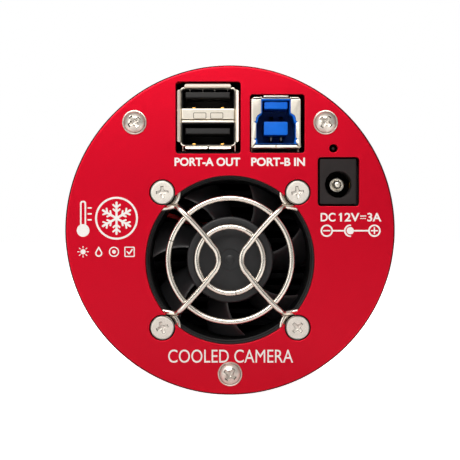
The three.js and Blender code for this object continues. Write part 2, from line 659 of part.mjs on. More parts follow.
// A vent slot's cutter: a stadium prism that points along +X, turned to its angle about the optical axis.
function slotCutter(angle) {
  const radius = SLOT.width / 2;
  const outline = new THREE.Shape();
  outline.absarc(SLOT.front - radius, 0, radius, -Math.PI / 2, Math.PI / 2);
  outline.absarc(SLOT.back + radius, 0, radius, Math.PI / 2, 1.5 * Math.PI);
  const prism = new THREE.ExtrudeGeometry(outline, { depth: 8, bevelEnabled: false, curveSegments: 2 });
  // The outline is drawn in Y and Z, and extruded outwards along X.
  const turn = new THREE.Matrix4().set(0, 0, 1, BODY_BORE - 3, 1, 0, 0, 0, 0, 1, 0, 0, 0, 0, 0, 1);
  return solid(prism.applyMatrix4(turn).rotateY(radians(-angle)));
}

function mainHousing() {
  const back = fromRear(COVER_THICKNESS + GAP);
  const front = SHOULDER_Y - GAP;
  const edge = 0.3;
  const tube = turned(
    [
      [BODY_BORE, back], [BODY_RADIUS - edge, back], [BODY_RADIUS, back + edge],
      [BODY_RADIUS, front - edge], [BODY_RADIUS - edge, front], [BODY_BORE, front],
    ],
    FINE,
  );
  const angles = Array.from({ length: SLOT.perSide }, (_, i) => SLOT.centre + (i - (SLOT.perSide - 1) / 2) * SLOT.pitch);
  const slots = angles.flatMap((angle) => [slotCutter(angle), slotCutter(180 - angle)]);
  add("main_housing", cut(tube, ...slots), RED);
}

function coverStandoffs() {
  const [rear, front] = [fromRear(COVER_THICKNESS + GAP), BASE_Y - BASE_THICKNESS - GAP];
  coverScrewPlaces.forEach(([x, z], i) => {
    const pillar = joined(rod(2.6, front, rear, x, z, 6), rod(1.45, BASE_Y + 7, front - 1, x, z, 12));
    const thread = rod(1.6, rear + 10, rear - 1, x, z, 12);
    add(`cover_standoff_${i + 1}`, cut(pillar, thread), BRASS);
  });
}

const NECK_FRONT = -3.6;
const NECK_STEP = { straight: -19, shoulder: -25 };
const SEAL = { front: [25.3, 26.7], rear: [27.2, 28.8], depth: 1 };
const FRONT_SCREW_CIRCLE = 28.8;
const frontScrewPlaces = [45, 135, 225, 315].map((angle) => [
  FRONT_SCREW_CIRCLE * Math.cos(radians(angle)),
  FRONT_SCREW_CIRCLE * Math.sin(radians(angle)),
]);

function frontHousing() {
  const back = BASE_Y + GAP;
  const shell = turned(
    [
      [CHAMBER_RADIUS, NECK_FRONT],
      [NECK_RADIUS - 0.3, NECK_FRONT],
      [NECK_RADIUS, NECK_FRONT - 0.3],
      [NECK_RADIUS, NECK_STEP.straight],
      [BODY_RADIUS, NECK_STEP.shoulder],
      [BODY_RADIUS, SHOULDER_Y],
      [BODY_BORE - 0.3, SHOULDER_Y],
      [BODY_BORE - 0.3, back],
      [SEAL.rear[1], back],
      [SEAL.rear[1], back + SEAL.depth],
      [SEAL.rear[0], back + SEAL.depth],
      [SEAL.rear[0], back],
      [CHAMBER_RADIUS, back],
    ],
    FINE,
  );
  const frontGroove = ring(...SEAL.front, NECK_FRONT + 1, NECK_FRONT - SEAL.depth, FINE);
  const studs = coverScrewPlaces.map(([x, z]) => rod(1.6, back + 7.2, back - 1, x, z, 12));
  const threads = frontScrewPlaces.map(([x, z]) => rod(1.25, NECK_FRONT + 1, NECK_FRONT - 7, x, z, 12));
  add("front_housing", cut(shell, frontGroove, ...studs, ...threads), RED);
}

function seals() {
  const strip = (inner, outer, yFront, yBack) => ring(inner + 3 * GAP, outer - GAP, yFront, yBack, 32);
  add("front_seal", strip(...SEAL.front, NECK_FRONT - 0.02, NECK_FRONT - SEAL.depth + GAP), RUBBER);
  const back = BASE_Y + GAP;
  add("rear_seal", strip(...SEAL.rear, back + SEAL.depth - GAP, back + 0.02), RUBBER);
}

// ---------------------------------------------------------------- front cover and window

const THREAD = { bore: 20.6, boss: 18.8, floor: -4.2, bossTop: -1.9 };
const WINDOW_SEAL = { inner: 14.9, outer: 15.9, depth: 0.8 };
const LIP_RADIUS = 14.5;

function frontCover() {
  const under = NECK_FRONT + GAP;
  const spigot = { radius: CHAMBER_RADIUS - 0.15, back: -6 };
  const seat = WINDOW_FACE_Y - WINDOW_THICKNESS;
  const section = [
    [LIP_RADIUS, spigot.back],
    [spigot.radius, spigot.back],
    [spigot.radius, under],
    [NECK_RADIUS - 0.3, under],
    [NECK_RADIUS, under + 0.3],
    [NECK_RADIUS, -0.5],
    [NECK_RADIUS - 0.5, 0],
    [THREAD.bore + 0.5, 0],
    [THREAD.bore, -0.5],
    [THREAD.bore, THREAD.floor],
    [THREAD.boss, THREAD.floor],
    [THREAD.boss, THREAD.bossTop],
    [17.4, THREAD.bossTop],
    [17.4, WINDOW_FACE_Y],
    [WINDOW_RADIUS + 0.2, WINDOW_FACE_Y],
    [WINDOW_RADIUS + 0.2, seat],
    [WINDOW_SEAL.outer, seat],
    [WINDOW_SEAL.outer, seat - WINDOW_SEAL.depth],
    [WINDOW_SEAL.inner, seat - WINDOW_SEAL.depth],
    [WINDOW_SEAL.inner, seat],
    [LIP_RADIUS, seat],
  ];
  const holes = frontScrewPlaces.flatMap(([x, z]) => [
    rod(1.45, 1, under - 1, x, z, 12),
    rod(2.3, 1, -1.6, x, z, 16),
  ]);
  add("front_cover", cut(turned(section, 40), ...holes), RED);
}

// A flat-headed screw along Y whose head looks to the front.
function frontScrews() {
  const head = { radius: 2.1, height: 1.3, top: -0.2 };
  frontScrewPlaces.forEach(([x, z], i) => {
    const body = joined(
      rod(head.radius, head.top, head.top - head.height, x, z, 16),
      rod(1.1, head.top - 1, head.top - 9, x, z, 10),
    );
    const socket = rod(0.85, head.top + 1, head.top - 0.8, x, z, 6);
    add(`front_screw_${i + 1}`, cut(body, socket), STEEL);
  });
}

function windowParts() {
  const seat = WINDOW_FACE_Y - WINDOW_THICKNESS;
  add("window_glass", rod(WINDOW_RADIUS, WINDOW_FACE_Y - 0.02, seat + GAP, 0, 0, 36), GLASS);
  const { inner, outer, depth } = WINDOW_SEAL;
  add("window_seal", ring(inner + GAP, outer - GAP, seat, seat - depth + GAP, 32), RUBBER);
  const retainer = ring(14.6, 17.3, THREAD.bossTop, WINDOW_FACE_Y + 0.05, 36);
  const keyways = [0, 180].map((angle) => {
    const slot = new THREE.BoxGeometry(2, 1, 1.4).translate(16.6, THREAD.bossTop, 0).rotateY(radians(angle));
    return solid(slot);
  });
  add("window_retainer", cut(retainer, ...keyways), BLACK_ANODISED);
  add("dew_heater", ring(15, 19.4, -6.05, -6.35, 32), AMBER_FILM);
}

// ---------------------------------------------------------------- assembly

rearCover();
coverScrews();
fanGuard();
fanScrews();
fanFrame();
fanImpeller();
fanMotor();
fanLead();
hubPort();
dataPort();
powerJack();
statusLamp();
mainBoard();
sensorFlex();
sensorStack();
coolingStack();
heatSink();
insulatorAndDesiccants();
mainHousing();
coverStandoffs();
frontHousing();
seals();
frontCover();
frontScrews();
windowParts();

export default camera;
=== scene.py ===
"""A cooled astronomy camera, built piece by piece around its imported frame."""

import functools
import math

import bmesh
import bpy
from mathutils import Matrix, Vector
from mathutils.geometry import tessellate_polygon


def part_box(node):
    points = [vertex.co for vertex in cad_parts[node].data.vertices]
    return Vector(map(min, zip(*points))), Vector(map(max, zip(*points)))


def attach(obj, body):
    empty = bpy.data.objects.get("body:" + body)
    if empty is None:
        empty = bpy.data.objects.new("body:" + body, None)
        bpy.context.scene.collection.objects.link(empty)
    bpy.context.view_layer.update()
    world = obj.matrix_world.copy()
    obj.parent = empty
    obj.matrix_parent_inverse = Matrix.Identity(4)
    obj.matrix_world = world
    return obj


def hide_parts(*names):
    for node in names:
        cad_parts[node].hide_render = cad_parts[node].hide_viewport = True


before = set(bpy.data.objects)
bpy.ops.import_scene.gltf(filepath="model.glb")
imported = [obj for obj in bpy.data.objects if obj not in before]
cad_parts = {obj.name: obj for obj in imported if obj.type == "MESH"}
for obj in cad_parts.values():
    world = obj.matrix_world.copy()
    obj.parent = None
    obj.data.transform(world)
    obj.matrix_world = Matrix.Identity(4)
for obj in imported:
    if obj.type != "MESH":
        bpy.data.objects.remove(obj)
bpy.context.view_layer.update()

bl_info = {
    "name": "Cooled astronomy camera",
    "version": (1, 0, 0),
    "blender": (4, 5, 0),
    "location": "View3D > Sidebar > Camera",
    "description": "Builds the pieces, finishes and studio of a cooled astronomy camera",
    "category": "Add Mesh",
}

MM = 0.001  # the shapes are drawn in millimetres
TAU = 2 * math.pi

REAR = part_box("rear_cover")[0].y / MM  # the outer face of the rear cover
FAN_Z = -7.1
FAN_HOLES = [(-16, FAN_Z + 16), (16, FAN_Z + 16), (-16, FAN_Z - 16), (16, FAN_Z - 16)]
FRONT_CIRCLE = 28.45  # the front screws stand on this radius
JACK = (25.63, 10.8)
LAMP_HOLE = (24.45, 19.3)
BOARD = 18.82  # height of the main board's upper face


def inside(depth):
    """The y of a plane at a depth inside the rear cover's outer face."""
    return REAR + depth


def polar(radius, angle, x=0.0, z=0.0):
    """The point at an angle in radians on a circle about (x, z)."""
    return (x + radius * math.cos(angle), z + radius * math.sin(angle))


def corners_of(radius):
    """The four points at 45 degrees on a circle about the optical axis."""
    return [polar(radius, math.radians(45 + 90 * k)) for k in range(4)]


COVER_HOLES = [polar(34, math.radians(a)) for a in (48.4, 131.6, 270)]


def paint(red, green, blue):
    """A display colour, 0 to 255, as the linear colour that shaders take."""

    def linear(v):
        v /= 255
        return v / 12.92 if v <= 0.04045 else ((v + 0.055) / 1.055) ** 2.4

    return (linear(red), linear(green), linear(blue), 1.0)


def shaded(colour, factor, lift=0.0):
    """The same colour, darker or paler."""
    return tuple(min(1, c * factor + lift) for c in colour[:3]) + (1,)


# ------------------------------------------------------------------ settings

COLOUR = {"subtype": "COLOR", "min": 0, "max": 1}
LENGTH = {"unit": "LENGTH", "subtype": "DISTANCE"}


class ShellSettings(bpy.types.PropertyGroup):
    anodised: bpy.props.FloatVectorProperty(
        name="Anodised colour",
        description="Colour of the anodised housings and covers",
        default=(0.7, 0.0028, 0.022),
        **COLOUR,
    )
    grain: bpy.props.FloatProperty(
        name="Blasted grain",
        description="Width of one dimple of the bead-blasted surface",
        default=0.0002,
        **LENGTH,
    )
    edge: bpy.props.FloatProperty(
        name="Edge rounding",
        description="Radius of the rounding round the rear cover",
        default=0.0006,
        **LENGTH,
    )
    print_colour: bpy.props.FloatVectorProperty(
        name="Print colour",
        description="Colour of the printed labels",
        default=(0.74, 0.71, 0.69),
        **COLOUR,
    )


class FanSettings(bpy.types.PropertyGroup):
    wire: bpy.props.FloatProperty(
        name="Guard wire",
        description="Radius of the wire that the fan guard is bent from",
        default=0.0007,
        **LENGTH,
    )
    small_hoop: bpy.props.FloatProperty(
        name="Small hoop",
        description="Radius of the guard's small hoop",
        default=0.0079,
        **LENGTH,
    )
    large_hoop: bpy.props.FloatProperty(
        name="Large hoop",
        description="Radius of the guard's large hoop",
        default=0.0147,
        **LENGTH,
    )


class PortSettings(bpy.types.PropertyGroup):
    insert: bpy.props.FloatVectorProperty(
        name="Data insert",
        description="Colour of the data socket's plastic insert",
        default=(0.0, 0.125, 0.62),
        **COLOUR,
    )
    sheet: bpy.props.FloatProperty(
        name="Shell sheet",
        description="Thickness of the sheet metal of the sockets",
        default=0.0003,
        **LENGTH,
    )


class StudioSettings(bpy.types.PropertyGroup):
    floor: bpy.props.FloatVectorProperty(
        name="Floor colour",
        description="Colour of the plain floor",
        default=(0.86, 0.86, 0.86),
        **COLOUR,
    )
    light: bpy.props.FloatProperty(
        name="Light", description="Strength of the studio lights", default=1.0, min=0, max=10
    )
    distance: bpy.props.FloatProperty(
        name="Viewing distance",
        description="Distance from the telescope flange to the viewer",
        default=0.346,
        **LENGTH,
    )


def settings(group):
    return getattr(bpy.context.scene, "cooled_camera_" + group)


# ------------------------------------------------------------------ outlines
# An outline is a function of growth: it returns its (x, z) corners when grown by that much.


def circle(radius, x=0.0, z=0.0, sides=48):
    return lambda grow: [polar(radius + grow, TAU * k / sides, x, z) for k in range(sides)]


def rounded(x0, x1, z0, z1, corner=0.5, steps=6):
    """A rectangle with rounded corners."""

    def corners(grow):
        radius = max(corner + grow, 0.0)
        inset = corner if corner + grow > 0 else -grow
        left, right, low, high = x0 + inset, x1 - inset, z0 + inset, z1 - inset
        return [
            polar(radius, math.radians(90 * k + 90 * step / steps), *centre)
            for k, centre in enumerate([(right, high), (left, high), (left, low), (right, low)])
            for step in range(steps + 1)
        ]

    return corners


def mitred(points):
    """A closed polygon that grows along its own sides."""

    def corners(grow):
        out = []
        count = len(points)
        area = sum(points[k - 1][0] * points[k][1] - points[k][0] * points[k - 1][1] for k in range(count))
        sense = 1 if area > 0 else -1
        for k in range(count):
            before, here, after = (Vector(points[(k + d) % count]) for d in (-1, 0, 1))
            a, b = (here - before).normalized(), (after - here).normalized()
            na, nb = Vector((a.y, -a.x)) * sense, Vector((b.y, -b.x)) * sense
            middle = na + nb
            push = na * grow
            if middle.length > 1e-6:
                push = middle * (grow / max(0.2, middle.length_squared / 2))
            out.append((here.x + push.x, here.y + push.y))
        return out

    return corners


def eased(points, radius, steps=4):
    """The same polygon with each corner rounded by a short curve."""
    out = []
    count = len(points)
    for k in range(count):
        before, here, after = (Vector(points[(k + d) % count]) for d in (-1, 0, 1))
        reach = min(radius, (before - here).length * 0.48, (after - here).length * 0.48)
        start = here + (before - here).normalized() * reach
        end = here + (after - here).normalized() * reach
        for step in range(steps + 1):
            t = step / steps
            out.append(tuple(start * (1 - t) ** 2 + here * 2 * t * (1 - t) + end * t * t))
    return out


def mirrored(half):
    """A closed outline from its right half, listed from top to bottom as (dx, z)."""
    return half + [(-x, z) for x, z in reversed(half)]


# ------------------------------------------------------------------ shaping tools


def skin(bm, low, high):
    """Faces between two rows of vertices. A row of one vertex is a point."""
    for k in range(max(len(low), len(high))):
        around = [
            low[k % len(low)],
            low[(k + 1) % len(low)],
            high[(k + 1) % len(high)],
            high[k % len(high)],
        ]
        corners = [v for i, v in enumerate(around) if v is not around[i - 1]]
        if len(corners) > 2:
            bm.faces.new(corners)


def skin_all(bm, rows, ends=False):
    """Faces between each row and the next, and over the first and last rows."""
    for low, high in zip(rows, rows[1:]):
        skin(bm, low, high)
    if ends:
        for row in (rows[0], rows[-1]):
            bm.faces.new(row)


def turned(bm, section, sides=96, x=0.0, z=0.0, closed=False, start=0.0):
    """Turns a section of (radius, y) corners about the line along y through (x, z)."""
    rows = []
    for radius, y in section:
        if radius < 1e-6:
            rows.append([bm.verts.new((x, y, z))])
            continue
        around = [polar(radius, start + TAU * k / sides, x, z) for k in range(sides)]
        rows.append([bm.verts.new((px, y, pz)) for px, pz in around])
    skin_all(bm, rows + rows[:1] if closed else rows)
    return rows


def turned_edge(radius, y, size, inward, steps=3):
    """Section corners that round an edge at (radius, y). inward is the way the material lies, in y."""
    bend = [math.pi / 2 * k / steps for k in range(steps + 1)]
    return [(radius - size * (1 - math.cos(a)), y + inward * size * (1 - math.sin(a))) for a in bend]


def plate(bm, outlines, face, back, edge=0.0, steps=3, back_edge=0.0, floors=()):
    """A prism along y. The first outline is its rim, the rest are holes; its edges are rounded.
    floors gives the y where a hole ends, hole by hole, for holes that don't go through."""
    sense = 1 if back > face else -1

    def profile(end, end_edge):
        """(growth of a hole, y) from the face to the end."""
        out = [(0, face)]
        if edge > 0:
            out = [(edge * (1 - math.sin(a)), face + sense * edge * (1 - math.cos(a))) for a in bend]
        if end_edge > 0:
            out += [(end_edge * (1 - math.cos(a)), end - sense * end_edge * (1 - math.sin(a))) for a in bend]
        else:
            out.append((0, end))
        return out

    bend = [math.pi / 2 * k / steps for k in range(steps + 1)]
    loops = []
    for index, outline in enumerate(outlines):
        floor = floors[index - 1] if 0 < index <= len(floors) else None
        through_it = profile(back, back_edge) if floor is None else profile(floor, 0)
        rows = []
        for grow, y in through_it:
            corners = outline(-grow if index == 0 else grow)
            rows.append([bm.verts.new((px, y, pz)) for px, pz in corners])
        skin_all(bm, rows)
        loops.append((rows, floor))
    cap(bm, [rows[0] for rows, _ in loops])
    cap(bm, [rows[-1] for rows, floor in loops if floor is None])
    for rows, floor in loops:
        if floor is not None:
            cap(bm, [rows[-1]])
    return [v for rows, _ in loops for row in rows for v in row]


def cap(bm, loops):
    """Closes a flat face: its first loop is its rim, the others are holes in it."""
    points = [v for loop in loops for v in loop]
    lines = [[Vector((v.co.x, v.co.z, 0)) for v in loop] for loop in loops]
    for triangle in tessellate_polygon(lines):
        bm.faces.new([points[i] for i in triangle])


def block(bm, x0, x1, y0, y1, z0, z1, edge=0.08, corner=0.12):
    """A box with softened edges, from its limits."""
    return plate(bm, [rounded(x0, x1, z0, z1, corner, 3)], y0, y1, edge, 2, edge)


def sunk(bm, x0, x1, near, far, z0, z1, edge=0.08, corner=0.12):
    """A block given by its depths inside the rear cover's outer face."""
    return block(bm, x0, x1, inside(near), inside(far), z0, z1, edge, corner)


def turn_made(bm, made, degrees, centre=(0, 0, 0)):
    """Turns vertices about the line along y through the centre."""
    bmesh.ops.rotate(bm, verts=made, cent=centre, matrix=Matrix.Rotation(math.radians(degrees), 3, "Y"))


def through(points, spacing=0.25):
    """A smooth curve through the points, as closely spaced points."""
    ends = [points[0] * 2 - points[1]] + points + [points[-1] * 2 - points[-2]]
    out = []
    for p0, p1, p2, p3 in zip(ends, ends[1:], ends[2:], ends[3:]):
        t = [0.0]
        for a, b in ((p0, p1), (p1, p2), (p2, p3)):
            t.append(t[-1] + max(1e-6, (b - a).length ** 0.5))
        count = max(2, round((p2 - p1).length / spacing))
        for k in range(count):
            u = t[1] + (t[2] - t[1]) * k / count
            a1 = p0.lerp(p1, u / t[1])
            a2 = p1.lerp(p2, (u - t[1]) / (t[2] - t[1]))
            a3 = p2.lerp(p3, (u - t[2]) / (t[3] - t[2]))
            b1 = a1.lerp(a2, u / t[2])
            b2 = a2.lerp(a3, (u - t[1]) / (t[3] - t[1]))
            out.append(b1.lerp(b2, (u - t[1]) / (t[2] - t[1])))
    out.append(points[-1].copy())
    return out


def tube(bm, path, radius, sides=20, nose=0.25):
    """A round wire along a path, with slightly rounded ends."""
    last = len(path) - 1
    tangents = [(path[min(i + 1, last)] - path[max(i - 1, 0)]).normalized() for i in range(len(path))]
    side = tangents[0].orthogonal().normalized()
    small, reach = radius * (1 - nose), radius * nose
    rows = []

    def row(centre, tangent, size):
        other = tangent.cross(side)
        around = [polar(size, TAU * k / sides) for k in range(sides)]
        rows.append([bm.verts.new(centre + side * u + other * v) for u, v in around])

    for i, (centre, tangent) in enumerate(zip(path, tangents)):
        if i:
            side = (side - tangent * side.dot(tangent)).normalized()
        if i == 0:
            row(centre, tangent, small)
            row(centre + tangent * reach, tangent, radius)
        elif i == last:
            row(centre - tangent * reach, tangent, radius)
            row(centre, tangent, small)
        elif 2 * reach < min((centre - path[0]).length, (centre - path[-1]).length):
            row(centre, tangent, radius)
    skin_all(bm, rows, ends=True)


def as_object(bm, name):
    """The shape in millimetres as an object in metres, with creases at its sharp edges."""
    bmesh.ops.recalc_face_normals(bm, faces=bm.faces[:])
    bmesh.ops.scale(bm, vec=(MM, MM, MM), verts=bm.verts[:])
    mark_creases(bm, 36)
    mesh = bpy.data.meshes.new(name)
    bm.to_mesh(mesh)
    bm.free()
    made = bpy.data.objects.new(name, mesh)
    bpy.context.scene.collection.objects.link(made)
    return made


def smooth_all(bm):
    for face in bm.faces:
        face.smooth = True


def mark_creases(bm, degrees):
    """Keeps the edges sharp where the surface turns by more than the angle."""
    for edge in bm.edges:
        edge.smooth = not (edge.is_manifold and edge.calc_face_angle(0) > math.radians(degrees))


def piece(name, bm, look, replaces=(), body="camera", carve=None, join=None, smooth=True):
    """Makes a named piece from a shape, and hangs it on its body in the frame."""
    if smooth:
        smooth_all(bm)
    made = as_object(bm, name)
    for operation, tool in (("UNION", join), ("DIFFERENCE", carve)):
        if tool is None:
            continue
        other = as_object(tool, name + "_tool")
        cut = made.modifiers.new(operation, "BOOLEAN")
        cut.operation, cut.object, cut.solver = operation, other, "EXACT"
        cut.use_self = operation == "UNION"
        bpy.context.view_layer.update()
        done = bpy.data.meshes.new_from_object(made.evaluated_get(bpy.context.evaluated_depsgraph_get()))
        made.modifiers.clear()
        made.data = done
        done.name = name
        bpy.data.objects.remove(other)
        crease(made)
    made.data.materials.clear()
    made.data.materials.append(finish(look))
    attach(made, body)
    if replaces:
        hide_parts(*replaces)
    return made


def crease(made):
    """Marks the sharp edges of a mesh that was cut."""
    bm = bmesh.new()
    bm.from_mesh(made.data)
    bmesh.ops.dissolve_degenerate(bm, dist=1e-7, edges=bm.edges[:])
    smooth_all(bm)
    mark_creases(bm, 30)
    bm.to_mesh(made.data)
    bm.free()


# ------------------------------------------------------------------ shader tools


class Value:
    """A shader socket that takes part in Python sums."""

    def __init__(self, graph, socket):
        self.graph, self.socket = graph, socket

    def _maths(self, operation, *values):
        return self.graph.node("ShaderNodeMath", {"operation": operation}, dict(enumerate(values)))

    def __add__(self, other):
        return self._maths("ADD", self, other)

    __radd__ = __add__

    def __sub__(self, other):
        return self._maths("SUBTRACT", self, other)

    def __rsub__(self, other):
        return self._maths("SUBTRACT", other, self)

    def __mul__(self, other):
        return self._maths("MULTIPLY", self, other)

    __rmul__ = __mul__

    def __pow__(self, other):
        return self._maths("POWER", self, other)


class Graph:
    """A shader's nodes, all made and wired by one method."""

    def __init__(self, owner):
        owner.use_nodes = True
        self.tree = owner.node_tree

    def node(self, kind, set_first=None, inputs=None, output=0):
        made = self.tree.nodes.new(kind)
        for name, value in (set_first or {}).items():
            if name == "stops":
                while len(made.color_ramp.elements) < len(value):
                    made.color_ramp.elements.new(0.5)
                for element, (position, colour) in zip(made.color_ramp.elements, value):
                    element.position, element.color = position, colour
            else:
                setattr(made, name, value)
        for name, value in (inputs or {}).items():
            self.feed(made.inputs[name], value)
        return Value(self, made.outputs[output])

    def feed(self, socket, value):
        if isinstance(value, Value):
            self.tree.links.new(value.socket, socket)
        else:
            socket.default_value = value


class Finish(Graph):
    """A material being built. Constants are set on the shader itself."""

    def __init__(self, name, **constants):
        self.material = bpy.data.materials.new(name)
        super().__init__(self.material)
        self.shader = self.tree.nodes["Principled BSDF"]
        self.set(**constants)
        place = self.node("ShaderNodeTexCoord", output="Object")
        # in millimetres
        self.place = self.node("ShaderNodeVectorMath", {"operation": "SCALE"}, {0: place, "Scale": 1 / MM})
        self.normal = None

    def set(self, **values):
        for name, value in values.items():
            self.feed(self.shader.inputs[name.replace("_", " ")], value)
        return self

    def noise(self, size, detail=2.0, place=None):
        """Smooth random values, about size millimetres from one to the next."""
        inputs = {"Vector": place or self.place, "Scale": 1 / size, "Detail": detail}
        return self.node("ShaderNodeTexNoise", inputs=inputs)

    def stretched(self, x, y, z):
        """The place, squeezed along each axis."""
        return self.node("ShaderNodeVectorMath", {"operation": "MULTIPLY"}, {0: self.place, 1: (x, y, z)})

    def between(self, mask, low, high):
        """The mask's 0 to 1 as a value from low to high."""
        return self.node("ShaderNodeMapRange", {"clamp": True}, {"Value": mask, "To Min": low, "To Max": high})

    def spread(self, value, low, high):
        """A value's part from low to high, stretched to 0 to 1."""
        return self.node("ShaderNodeMapRange", {"clamp": True}, {"Value": value, "From Min": low, "From Max": high})

    def mixed(self, mask, low, high):
        return self.node("ShaderNodeMix", {"data_type": "RGBA"}, {0: mask, 6: low, 7: high}, 2)

    def bump(self, height, depth):
        """A relief of that many millimetres."""
        inputs = {"Height": height, "Distance": depth * MM}
        if self.normal:
            inputs["Normal"] = self.normal
        self.normal = self.node("ShaderNodeBump", inputs=inputs)
        self.set(Normal=self.normal)
        return self

    def worn(self, radius=0.25):
        """1 along the outer edges, 0 elsewhere."""
        soft = self.node("ShaderNodeBevel", {"samples": 4}, {"Radius": radius * MM})
        true = self.node("ShaderNodeNewGeometry", output="Normal")
        along = self.node("ShaderNodeVectorMath", {"operation": "DOT_PRODUCT"}, {0: soft, 1: true}, "Value")
        return self.spread(1 - along, 0.01, 0.12)


# ------------------------------------------------------------------ finishes


def anodised(name, colour, metallic, coat, grain, roughness=(0.4, 0.5), relief=0.012, rim=None):
    """Bead-blasted and anodised aluminium: fine dimples, slow changes of colour, paler edges, and, where a rim radius
    is given, a painted shade along the rim.
    """
    f = Finish(name, Metallic=metallic, Coat_Weight=coat, Coat_Roughness=0.3)
    f.shader.inputs["Specular Tint"].default_value = shaded(colour, 0.75, 0.25)
    dimples = f.noise(grain, 2)
    mottle = f.noise(1.3, 3)
    cloud = f.noise(16, 2)
    base = f.mixed(f.between(dimples, 0.0, 1.0), shaded(colour, 0.86), shaded(colour, 1.12))
    base = f.mixed(f.spread(cloud, 0.35, 0.7) * 0.14, base, shaded(colour, 0.8))
    base = f.mixed(f.worn() * 0.15, base, shaded(colour, 1.2, 0.05))
    # painted shade: a dark band on the rear cover's rounded rim, near the outer face, standing in for the shade in
    # that edge
    if rim:
        x, y, z = (f.node("ShaderNodeSeparateXYZ", inputs={0: f.place}, output=axis) for axis in "XYZ")
        outer = f.spread((x * x + z * z) ** 0.5, rim - 0.42, rim - 0.28) * (1 - f.spread(y, REAR + 0.45, REAR + 0.7))
        base = f.mixed(outer * 0.95, base, shaded(colour, 0.05))
    f.set(Base_Color=base, Roughness=f.between(mottle, *roughness))
    f.bump(dimples, relief).bump(f.noise(grain * 3.1, 1), relief * 0.6)
    return f.material


def red_anodised(name, rim=None):
    shell = settings("shell")
    return anodised(name, tuple(shell.anodised) + (1,), 1.0, 0.2, shell.grain / MM, rim=rim)


def brushed(name, colour, size, stretch, roughness, relief, dull=0.9, metallic=1.0):
    """Bare metal with fine lines along its stretch, and faint stains."""
    f = Finish(name, Metallic=metallic)
    lines = f.noise(size, 3, f.stretched(*stretch))
    stain = f.noise(2.2, 3)
    shade = f.mixed(f.spread(stain, 0.35, 0.7), colour, tuple(c * dull for c in colour[:3]) + (1,))
    f.set(
        Base_Color=f.mixed(f.spread(lines, 0.3, 0.7), shade, shaded(colour, 1.05)),
        Roughness=f.between(stain, *roughness) + f.between(lines, -0.03, 0.03),
    )
    f.bump(lines, relief)
    return f.material


def below_surface(f, top):
    """How deep a point lies below the face of a screw's head, in millimetres."""
    y = f.node("ShaderNodeSeparateXYZ", inputs={0: f.place}, output="Y")
    if top is not None:
        return y - top
    span = f.node("ShaderNodeTexCoord", output="Generated")
    across = f.node("ShaderNodeSeparateXYZ", inputs={0: span}, output="X")
    up = f.node("ShaderNodeSeparateXYZ", inputs={0: span}, output="Z")
    dx, dz = (across - 0.5) * 5.8, (up - 0.5) * 5.8
    bulge = (3.2**2 - dx * dx - dz * dz) ** 0.5
    return y + bulge - (REAR + 1.7)


def screw_steel(name, low, high, pit, relief, roughness, top, floor):
    """A screw's head: fine pits, and painted shade on the walls of the cross recess."""
    f = Finish(name, Metallic=0.9)
    pits = f.noise(pit, 3)
    stain = f.noise(0.9, 2)
    depth = below_surface(f, top)
    # painted shade: the walls of the cross are darkened by their depth below the head's face
    walls = f.spread(depth, 0.02, 0.07) * (1 - f.spread(depth, floor - 0.12, floor)) * 0.85
    metal = f.mixed(f.spread(pits, 0.3, 0.7), low, high)
    f.set(Base_Color=f.mixed(walls, metal, paint(52, 46, 42)), Roughness=f.between(stain, *roughness))
    f.bump(pits, relief)
    return f.material


def moulded(name, colour, roughness=(0.42, 0.55), grain=0.12, relief=0.004, tint=0.86, **constants):
    """Moulded plastic: fine spark-eroded grain and slow changes of gloss."""
    f = Finish(name, **constants)
    texture = f.noise(grain, 2)
    flow = f.noise(2.4, 3, f.stretched(1, 0.4, 1))
    low = tuple(c * tint for c in colour[:3]) + (1,)
    f.set(
        Base_Color=f.mixed(f.spread(flow, 0.3, 0.7), low, colour),
        Roughness=f.between(flow, *roughness) + f.between(texture, -0.03, 0.03),
    )
    f.bump(texture, relief)
    return f.material


def insert_blue(name):
    """Glossy blue plastic, with painted shade making it darker further inside the socket."""
    colour = tuple(settings("port").insert) + (1,)
    f = Finish(name, Specular_IOR_Level=0.22)
    y = f.node("ShaderNodeSeparateXYZ", inputs={0: f.place}, output="Y")
    flow = f.noise(2.4, 3)
    # painted shade: the blue turns darker from 1.5 to 3.5 mm inside the rear cover's face
    deep = f.spread(y, inside(1.5), inside(3.5))
    shallow = f.mixed(f.spread(flow, 0.3, 0.7), shaded(colour, 0.88), colour)
    f.set(
        Base_Color=f.mixed(deep * 0.8, shallow, (0.0, 0.02, 0.13, 1)),
        Roughness=f.between(flow, 0.38, 0.5),
    )
    f.bump(f.noise(0.1, 2), 0.002)
    return f.material


def solder_mask(name, colour, trace):
    """A circuit board: thin raised copper tracks under a coloured mask, and the weave of its glass cloth."""
    f = Finish(name, Coat_Weight=0.4, Coat_Roughness=0.2)
    cells = f.node(
        "ShaderNodeTexVoronoi",
        {"distance": "CHEBYCHEV", "feature": "F1"},
        {"Vector": f.place, "Scale": 0.55, "Randomness": 0.85},
    )
    tracks = f.node("ShaderNodeMath", {"operation": "PINGPONG"}, {0: cells * 6.0, 1: 0.5})
    raised = f.spread(tracks, 0.3, 0.36)
    weave = f.node("ShaderNodeTexChecker", inputs={"Vector": f.place, "Scale": 2.4}, output="Fac")
    base = f.mixed(raised, colour, trace)
    f.set(
        Base_Color=f.mixed(f.noise(5, 2) * 0.3, base, shaded(colour, 0.7)),
        Roughness=f.between(f.noise(0.8, 2), 0.3, 0.45),
    )
    f.bump(raised, 0.03).bump(weave, 0.002)
    return f.material


def coated_glass(name, tint):
    """Optical glass with a faint green and violet coating, and specks of dust."""
    f = Finish(name, IOR=1.5, Transmission_Weight=1.0, Specular_IOR_Level=0.6)
    patch = f.noise(9, 1)
    dust = f.spread(f.noise(0.35, 3), 0.72, 0.78)
    f.set(
        Base_Color=f.mixed(f.spread(patch, 0.35, 0.65), tint, (1, 1, 1, 1)),
        Roughness=f.between(dust, 0.0, 0.22),
    )
    return f.material


